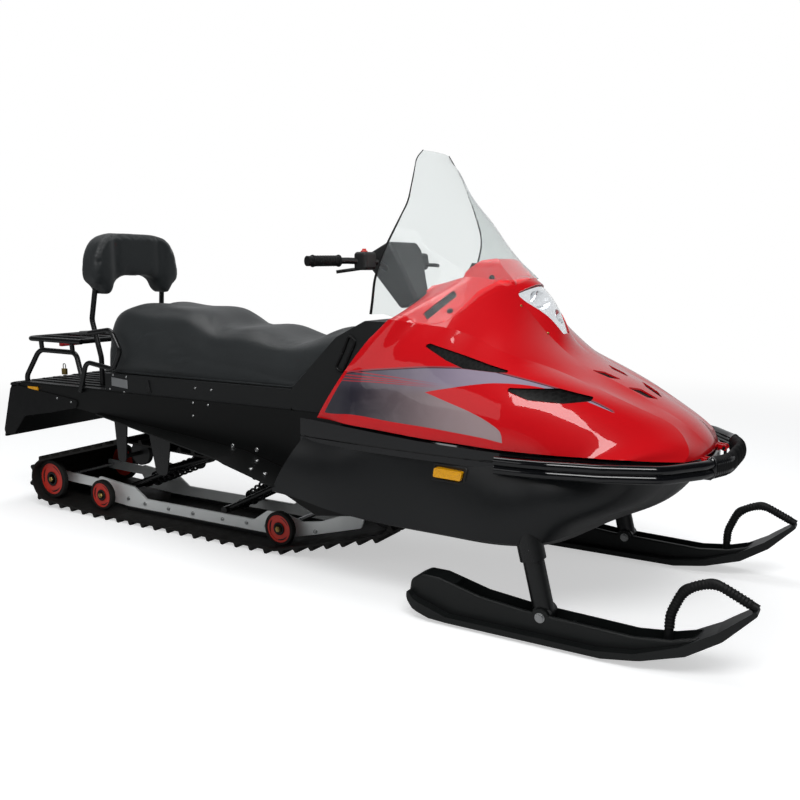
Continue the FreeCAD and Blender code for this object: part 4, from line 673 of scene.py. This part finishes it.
for x, y, z in side_rivets:
    for side in (-1, 1):
        lathe(bm, (x, side * y, z), (0, side, 0), RIVET, 14)
new_piece("side_rivets", bm, zinc, "chassis")

bm = bmesh.new()
for x, z in ((-0.262, 0.412), (-0.146, 0.409)):
    for side in (-1, 1):
        lathe(bm, (x, side * TUNNEL_SIDE, z), (0, side, 0), SCREW)
for x, y, z in ((-0.113, 0.321, 0.379), (-0.075, 0.400, 0.369), (-0.021, 0.389, 0.356)):
    for side in (-1, 1):
        lathe(bm, (x, side * y, z), (0.25, 0, 0.97), SCREW)
new_piece("tunnel_bolts", bm, zinc, "chassis")
print("rivets:", 2 * len(side_rivets))

# %% [markdown]
# ## Wheel hubs
# Each small wheel has a red disc with three curved windows, a black bearing cup in its middle and a
# yellow zinc nut on the axle. The cup is turned; a window is not cut: a thin black crescent laid on the
# disc paints its shade.

# %% Bearing cups, painted window shade and nuts
WHEELS = [(-1.402, 0.207, 0.128, 0.089, 0.022), (-1.092, 0.196, 0.091, 0.0675, 0.024),
          (-0.111, 0.196, 0.091, 0.0675, 0.024)]


def crescent(bm, at, side, inner, outer, start, sweep, thick, steps=12):
    """A curved sliver between two radii, pointed at both ends, facing outwards; laid dark on a disc it
    paints a window's shade.
    """
    layers = []
    for out in (0.0, thick):
        lines = []
        for k in range(steps + 1):
            angle = start + sweep * k / steps
            full = math.sin(math.pi * (0.08 + 0.84 * k / steps))
            middle, half = (inner + outer) / 2, (outer - inner) / 2 * full
            lines.append([bm.verts.new((at[0] + r * math.cos(angle), at[1] + side * out,
                                        at[2] + r * math.sin(angle)))
                          for r in (middle - half, middle + half)])
        layers.append(lines)
    low, high = layers
    for k in range(steps):
        bm.faces.new((high[k][0], high[k + 1][0], high[k + 1][1], high[k][1]))
        bm.faces.new((low[k][0], low[k][1], low[k + 1][1], low[k + 1][0]))
        for edge in (0, 1):
            bm.faces.new((low[k][edge], low[k + 1][edge], high[k + 1][edge], high[k][edge]))
    for k in (0, steps):
        bm.faces.new((low[k][0], low[k][1], high[k][1], high[k][0]))


cups, window_shades, nuts = bmesh.new(), bmesh.new(), bmesh.new()
for x, y, z, radius, width in WHEELS:
    for side in (-1, 1):
        face = y + width * 0.4
        lathe(cups, (x, side * (face - 0.002), z), (0, side, 0),
              ((0.0, radius * 0.36), (0.003, radius * 0.37), (0.0045, radius * 0.34),
               (0.0045, radius * 0.27), (0.002, radius * 0.25), (0.002, radius * 0.16)), 36)
        lathe(nuts, (x, side * face, z), (0, side, 0),
              ((0.0, 0.0125), (0.0075, 0.0125), (0.0095, 0.0105), (0.0095, 0.0070), (0.0120, 0.0062)), 6)
        # Three black crescents a side: painted shade standing in for the disc's recessed windows.
        for turn in range(3):
            crescent(window_shades, (x, side * (y + width * 0.28 - 0.001), z), side, radius * 0.60, radius * 0.71,
                     math.radians(20 + 120 * turn), math.radians(62), 0.0016)
new_piece("bearing_cups", cups, textured_abs, "chassis")
new_piece("disc_window_shades", window_shades, textured_abs, "chassis", smooth=False)
new_piece("axle_nuts", nuts, yellow_zinc, "chassis", smooth=False)
print("wheels dressed:", 2 * len(WHEELS))

# %% [markdown]
# ## Tubes along a line
# Rubber edging, piping, sleeves and straps are all one section drawn along a line. The line is given
# by a few corners; each corner is rounded as a pipe bender would, and the section is carried along
# without twisting. The radius may change on the way, which is how ribs are made.

# %% Draw a section along a line


def rounded(points, bend, step=0.012):
    """A line through corners, each rounded over a length, in short steps."""
    corners = [Vector(p) for p in points]
    line = [corners[0]]
    for before, corner, after in zip(corners, corners[1:], corners[2:]):
        back, ahead = before - corner, after - corner
        reach = min(bend, back.length * 0.48, ahead.length * 0.48)
        start, end = corner + back.normalized() * reach, corner + ahead.normalized() * reach
        for k in range(7):
            t = k / 6
            line.append(start * (1 - t) ** 2 + corner * 2 * t * (1 - t) + end * t ** 2)
    line.append(corners[-1])
    fine = [line[0]]
    for one, two in zip(line, line[1:]):
        count = max(1, round((two - one).length / step))
        fine += [one.lerp(two, (k + 1) / count) for k in range(count)]
    return fine


def tube(bm, line, radius, segments=10, flat=1.0):
    """A closed tube along a line; the radius is a number or a function of the way along."""
    tangents = []
    for k in range(len(line)):
        ahead, back = line[min(k + 1, len(line) - 1)], line[max(k - 1, 0)]
        tangents.append((ahead - back).normalized())
    side = tangents[0].cross(Vector((0, 0, 1)))
    side = side.normalized() if side.length > 0.05 else Vector((0, 1, 0))
    way, loops = 0.0, []
    for k, (point, ahead) in enumerate(zip(line, tangents)):
        if k:
            way += (point - line[k - 1]).length
        side = (side - ahead * side.dot(ahead)).normalized()
        up = ahead.cross(side)
        r = radius(way) if callable(radius) else radius
        loops.append([bm.verts.new(point + side * (r * math.cos(a * math.tau / segments))
                                   + up * (r * flat * math.sin(a * math.tau / segments)))
                      for a in range(segments)])
    for one, two in zip(loops, loops[1:]):
        for a in range(segments):
            b = (a + 1) % segments
            bm.faces.new((one[a], one[b], two[b], two[a]))
    bm.faces.new(list(reversed(loops[0])))
    bm.faces.new(loops[-1])


def mirror(points):
    """The same line on the machine's other side."""
    return [(x, -y, z) for x, y, z in points]


def surface_of(*objects):
    """A tree that finds the nearest place and its normal on the objects' skins."""
    verts, faces, start = [], [], 0
    for thing in objects:
        mesh = thing.data
        mesh.calc_loop_triangles()
        spots = np.empty(len(mesh.vertices) * 3, np.float32)
        corners = np.empty(len(mesh.loop_triangles) * 3, np.int32)
        mesh.vertices.foreach_get("co", spots)
        mesh.loop_triangles.foreach_get("vertices", corners)
        verts += spots.reshape(-1, 3).tolist()
        faces += (corners.reshape(-1, 3) + start).tolist()
        start += len(mesh.vertices)
    return BVHTree.FromPolygons(verts, faces)


print("corner test:", len(rounded([(0, 0, 0), (0.1, 0, 0), (0.1, 0.1, 0)], 0.03)), "points")

# %% [markdown]
# ## Screen edging and screws
# A bare edge of polycarbonate would crack and glare, so a black rubber channel is pressed on it all
# round the free rim. The sheet is held by screws in wide rubber washers.

# %% Edge the screen
SCREEN_RIM = [(0.413, 0.3705, 0.931), (0.419, 0.371, 0.965), (0.424, 0.371, 1.006), (0.428, 0.371, 1.037),
              (0.442, 0.366, 1.090), (0.462, 0.356, 1.146), (0.476, 0.330, 1.197), (0.481, 0.248, 1.290),
              (0.467, 0.186, 1.386), (0.452, 0.142, 1.440), (0.452, 0.096, 1.4700)]
bm = bmesh.new()
for line in (SCREEN_RIM, mirror(SCREEN_RIM)):
    tube(bm, rounded(line, 0.03), lambda way: 0.0046 - 0.0030 * min(1.0, way / 0.62), 8)
new_piece("screen_edging", bm, soft_rubber, "hood")

skin_tree = surface_of(nodes["hood_shell"], nodes["dash_cowl"], nodes["windscreen"])
WASHER = ((-0.001, 0.0098), (0.0022, 0.0100), (0.0034, 0.0090), (0.0036, 0.0062))
HEAD = ((0.003, 0.0060), (0.0058, 0.0058), (0.0070, 0.0046), (0.0070, 0.0026), (0.0048, 0.0024),
        (0.0046, 0.0006))
washers, heads = bmesh.new(), bmesh.new()
for spot in ((0.657, 0.290, 0.944), (0.715, 0.102, 1.045)):
    for side in (-1, 1):
        place, normal, _, _ = skin_tree.find_nearest(Vector((spot[0], side * spot[1], spot[2])))
        outward = normal if normal.z > 0 else -normal
        lathe(washers, place, outward, WASHER)
        lathe(heads, place, outward, HEAD)
new_piece("screen_washers", washers, soft_rubber, "hood")
new_piece("screen_screws", heads, zinc_black, "hood")

bm = bmesh.new()
for spot in ((0.830, 0.128, 0.957), (0.910, 0.092, 0.871)):
    for side in (-1, 1):
        place, normal, _, _ = skin_tree.find_nearest(Vector((spot[0], side * spot[1], spot[2])))
        lathe(bm, place, normal if normal.x > 0 else -normal,
              ((-0.001, 0.0042), (0.0008, 0.0044), (0.0022, 0.0034), (0.0026, 0.0012)), 14)
new_piece("lamp_screws", bm, yellow_zinc, "hood")
print("screen and lamp screws done")

# %% [markdown]
# ## Piping on the seat
# Where the cover turns under, a cord sewn in vinyl hides the seam: along the lower edges and up the
# slanted front, round to the other side. It is laid on the blown-up cover, so it follows its bulges.

# %% Lay the piping
PIPING = [(-0.930, 0.249, 0.652), (-0.600, 0.249, 0.650), (-0.200, 0.249, 0.650), (0.004, 0.249, 0.648),
          (0.052, 0.255, 0.692), (0.106, 0.240, 0.744), (0.158, 0.208, 0.796), (0.184, 0.150, 0.822),
          (0.190, 0.060, 0.828), (0.191, 0.0, 0.829)]
cover_tree = surface_of(seat_cover)
whole = PIPING + mirror(PIPING)[-2::-1]
laid = []
for point in rounded(whole, 0.02, 0.010):
    place, normal, _, _ = cover_tree.find_nearest(point)
    laid.append(place + normal * 0.0015)
for k in range(3):
    laid = [laid[0]] + [(a + b * 2 + c) / 4 for a, b, c in zip(laid, laid[1:], laid[2:])] + [laid[-1]]
bm = bmesh.new()
tube(bm, laid, 0.0042, 8)
new_piece("seat_piping", bm, vinyl, "chassis")
print("piping points:", len(laid))

# %% [markdown]
# ## Rubber on the bumper and the skis
# The bumper's front is sleeved in ribbed rubber, clamped at its ends. The hand loops of the skis are
# wound with a ribbed rubber hose: a tube whose radius rises and falls as it goes along.

# %% Ribbed sleeves


def ribbed(core, height, pitch):
    """The radius of a hose with rounded ribs."""
    return lambda way: core + height * max(0.0, math.sin(way * math.tau / pitch)) ** 0.7


LOOP = [(1.407, 0.435, 0.112), (1.408, 0.435, 0.150), (1.440, 0.435, 0.228), (1.516, 0.435, 0.262),
        (1.612, 0.435, 0.216)]
for name, side in (("right", -1), ("left", 1)):
    bm = bmesh.new()
    line = rounded([(x, side * y, z) for x, y, z in LOOP], 0.036, 0.0022)
    tube(bm, line, ribbed(0.0125, 0.0022, 0.0095), 14)
    new_piece("loop_hose_" + name, bm, soft_rubber, "ski_" + name + "_body")

SLEEVE = [(1.449, -0.200, 0.512), (1.484, -0.116, 0.512), (1.484, 0.116, 0.512), (1.449, 0.200, 0.512)]
bm = bmesh.new()
tube(bm, rounded(SLEEVE, 0.05, 0.0022), ribbed(0.0152, 0.0030, 0.0105), 22, flat=1.8)
new_piece("bumper_sleeve", bm, soft_rubber, "chassis")
bm = bmesh.new()
for side in (-1, 1):
    start = Vector((1.449, side * 0.200, 0.512))
    ahead = (Vector((1.484, side * 0.116, 0.512)) - start).normalized()
    tube(bm, [start - ahead * 0.004, start + ahead * 0.008], 0.0178, 22, flat=1.86)
new_piece("sleeve_clamps", bm, gloss_abs, "chassis")
print("sleeves done")

# %% [markdown]
# ## Small fittings
# A closed rubber strap on each side of the tank holds the hood down. The seat base carries a blank
# aluminium plate and a key catch; the deck has a brass padlock. The side reflectors sit in black
# frames, laid on the belly pan.

# %% Straps, plates, catches, frames and padlock


def slab(bm, corners, out, thick, edge=0.0015):
    """A plate with eased edges on a flat outline, raised along a direction."""
    ring = [Vector(c) for c in corners]
    middle = sum(ring, Vector()) / len(ring)
    out = Vector(out)
    loops = []
    for rise, pull in ((0.0, 0.0), (thick - edge, 0.0), (thick, edge)):
        loops.append([bm.verts.new(c + (middle - c).normalized() * pull * 1.4 + out * rise) for c in ring])
    for one, two in zip(loops, loops[1:]):
        for k in range(len(ring)):
            m = (k + 1) % len(ring)
            bm.faces.new((one[k], one[m], two[m], two[k]))
    bm.faces.new(loops[0])
    bm.faces.new(loops[-1])


STRAP = [(0.240, 0.2765, 0.790), (0.268, 0.2765, 0.852), (0.294, 0.2765, 0.832), (0.238, 0.2765, 0.722),
         (0.210, 0.2765, 0.736), (0.240, 0.2765, 0.790)]
bm = bmesh.new()
for line in (STRAP, mirror(STRAP)):
    tube(bm, rounded(line, 0.014, 0.006), 0.0075, 12, flat=0.75)
new_piece("hood_straps", bm, soft_rubber, "chassis")

plates = bmesh.new()
for side in (-1, 1):
    y = side * BASE_SIDE
    slab(plates, [(-0.912, y, 0.597), (-0.820, y, 0.590), (-0.820, y, 0.626), (-0.912, y, 0.633)],
         (0, side, 0), 0.002)
new_piece("blank_plates", plates, anodised, "chassis", smooth=False)

bm = bmesh.new()
for side in (-1, 1):
    y = side * BASE_SIDE
    slab(bm, [(-0.712, y, 0.586), (-0.686, y, 0.583), (-0.692, y, 0.606), (-0.697, y, 0.632),
              (-0.703, y, 0.632), (-0.706, y, 0.606)], (0, side, 0), 0.006)
new_piece("key_catches", bm, textured_abs, "chassis", smooth=False)

pan_tree = surface_of(nodes["belly_pan"])
FRAME = [(0.740, 0.46, 0.441), (0.684, 0.46, 0.441), (0.690, 0.46, 0.489), (0.802, 0.46, 0.486),
         (0.796, 0.46, 0.439), (0.740, 0.46, 0.441)]
bm = bmesh.new()
for line in (FRAME, mirror(FRAME)):
    snapped = [pan_tree.find_nearest(point)[0] for point in rounded(line, 0.006, 0.004)]
    tube(bm, snapped, 0.0055, 10)
new_piece("reflector_frames", bm, textured_abs, "chassis")

bm = bmesh.new()
slab(bm, [(-1.455, -0.088, 0.590), (-1.427, -0.088, 0.590), (-1.427, -0.088, 0.618),
          (-1.455, -0.088, 0.618)], (0, 1, 0), 0.012)
new_piece("padlock", bm, yellow_zinc, "chassis", smooth=False)
bm = bmesh.new()
tube(bm, rounded([(-1.449, -0.082, 0.616), (-1.449, -0.082, 0.640), (-1.433, -0.082, 0.640),
                  (-1.433, -0.082, 0.616)], 0.008, 0.003), 0.0022, 8)
new_piece("padlock_bow", bm, zinc, "chassis")
print("fittings done")

# %% [markdown]
# ## On the handlebar and the dash
# The grips are soft rubber with raised rings and a flange at each end. A red stop switch sits on the
# right housing. The two dials have a chromed rim and a dark face.

# %% Grip rings, stop switch and dials
GRIP_OUT, GRIP_IN = Vector((0.190, -0.398, 1.100)), Vector((0.246, -0.250, 1.102))
RINGS, RING_PITCH = 11, 0.0104
grip_way = (GRIP_OUT - GRIP_IN).normalized()
bm = bmesh.new()
for k in range(RINGS):
    at = GRIP_IN + grip_way * (0.038 + RING_PITCH * k)
    reach = 0.0205 if k in (0, RINGS - 1) else 0.0183
    for side in (-1, 1):
        spot = Vector((at.x, -side * at.y, at.z))
        way = Vector((grip_way.x, -side * grip_way.y, grip_way.z))
        lathe(bm, spot, way, ((-0.0022, 0.0150), (-0.0016, reach), (0.0016, reach), (0.0022, 0.0150)), 20)
new_piece("grip_rings", bm, soft_rubber, "steering")

switch_red = finish("switch_red_abs", "#B81408", "#CC2412", 12, 1.0, 0.01, 0.3, 0.4, IOR=1.53)
bm = bmesh.new()
lathe(bm, (0.278, -0.196, 1.130), (0, 0, 1),
      ((-0.001, 0.0120), (0.005, 0.0120), (0.0065, 0.0105), (0.0065, 0.0075), (0.012, 0.0070),
       (0.013, 0.0052)), 20)
new_piece("stop_switch", bm, switch_red, "steering")

dial_face = finish("printed_dial_face", "#0C0D0E", "#141516", 40, 0.8, 0.0, 0.2, 0.3,
                   IOR=1.49, Coat_Weight=0.8)
rims, faces = bmesh.new(), bmesh.new()
back = Vector((-0.876, 0.0, 0.482)).normalized()
for y in (-0.040, 0.040):
    centre = Vector((0.612, y, 1.052)) + back * 0.009
    lathe(rims, centre, back,
          ((-0.004, 0.0300), (0.002, 0.0305), (0.003, 0.0290), (0.001, 0.0260)), 40)
    lathe(faces, centre, back,
          ((0.0004, 0.0262), (0.0016, 0.0255), (0.0022, 0.0100), (0.0024, 0.0020)), 40)
new_piece("dial_rims", rims, zinc, "hood")
new_piece("dial_faces", faces, dial_face, "hood")
print("handlebar dressed")

# %% [markdown]
# ## Rail hardware
# The slide rails are bolted through at every cross tube and wheel bracket. Zinc heads line their
# lower edge and the arm pivots.

# %% Rail bolts
BOLTS = ((-1.000, 0.072), (-0.900, 0.062), (-0.760, 0.060), (-0.620, 0.060), (-0.457, 0.060),
         (-0.330, 0.064), (-0.230, 0.066), (0.010, 0.080))
bm = bmesh.new()
for x, z in BOLTS:
    for side in (-1, 1):
        lathe(bm, (x, side * 0.1345, z), (0, side, 0),
              ((-0.001, 0.0085), (0.0015, 0.0085), (0.0015, 0.0068), (0.0060, 0.0064),
               (0.0066, 0.0050)), 12)
new_piece("rail_bolts", bm, zinc, "chassis", smooth=False)
print("rail bolts:", 2 * len(BOLTS))
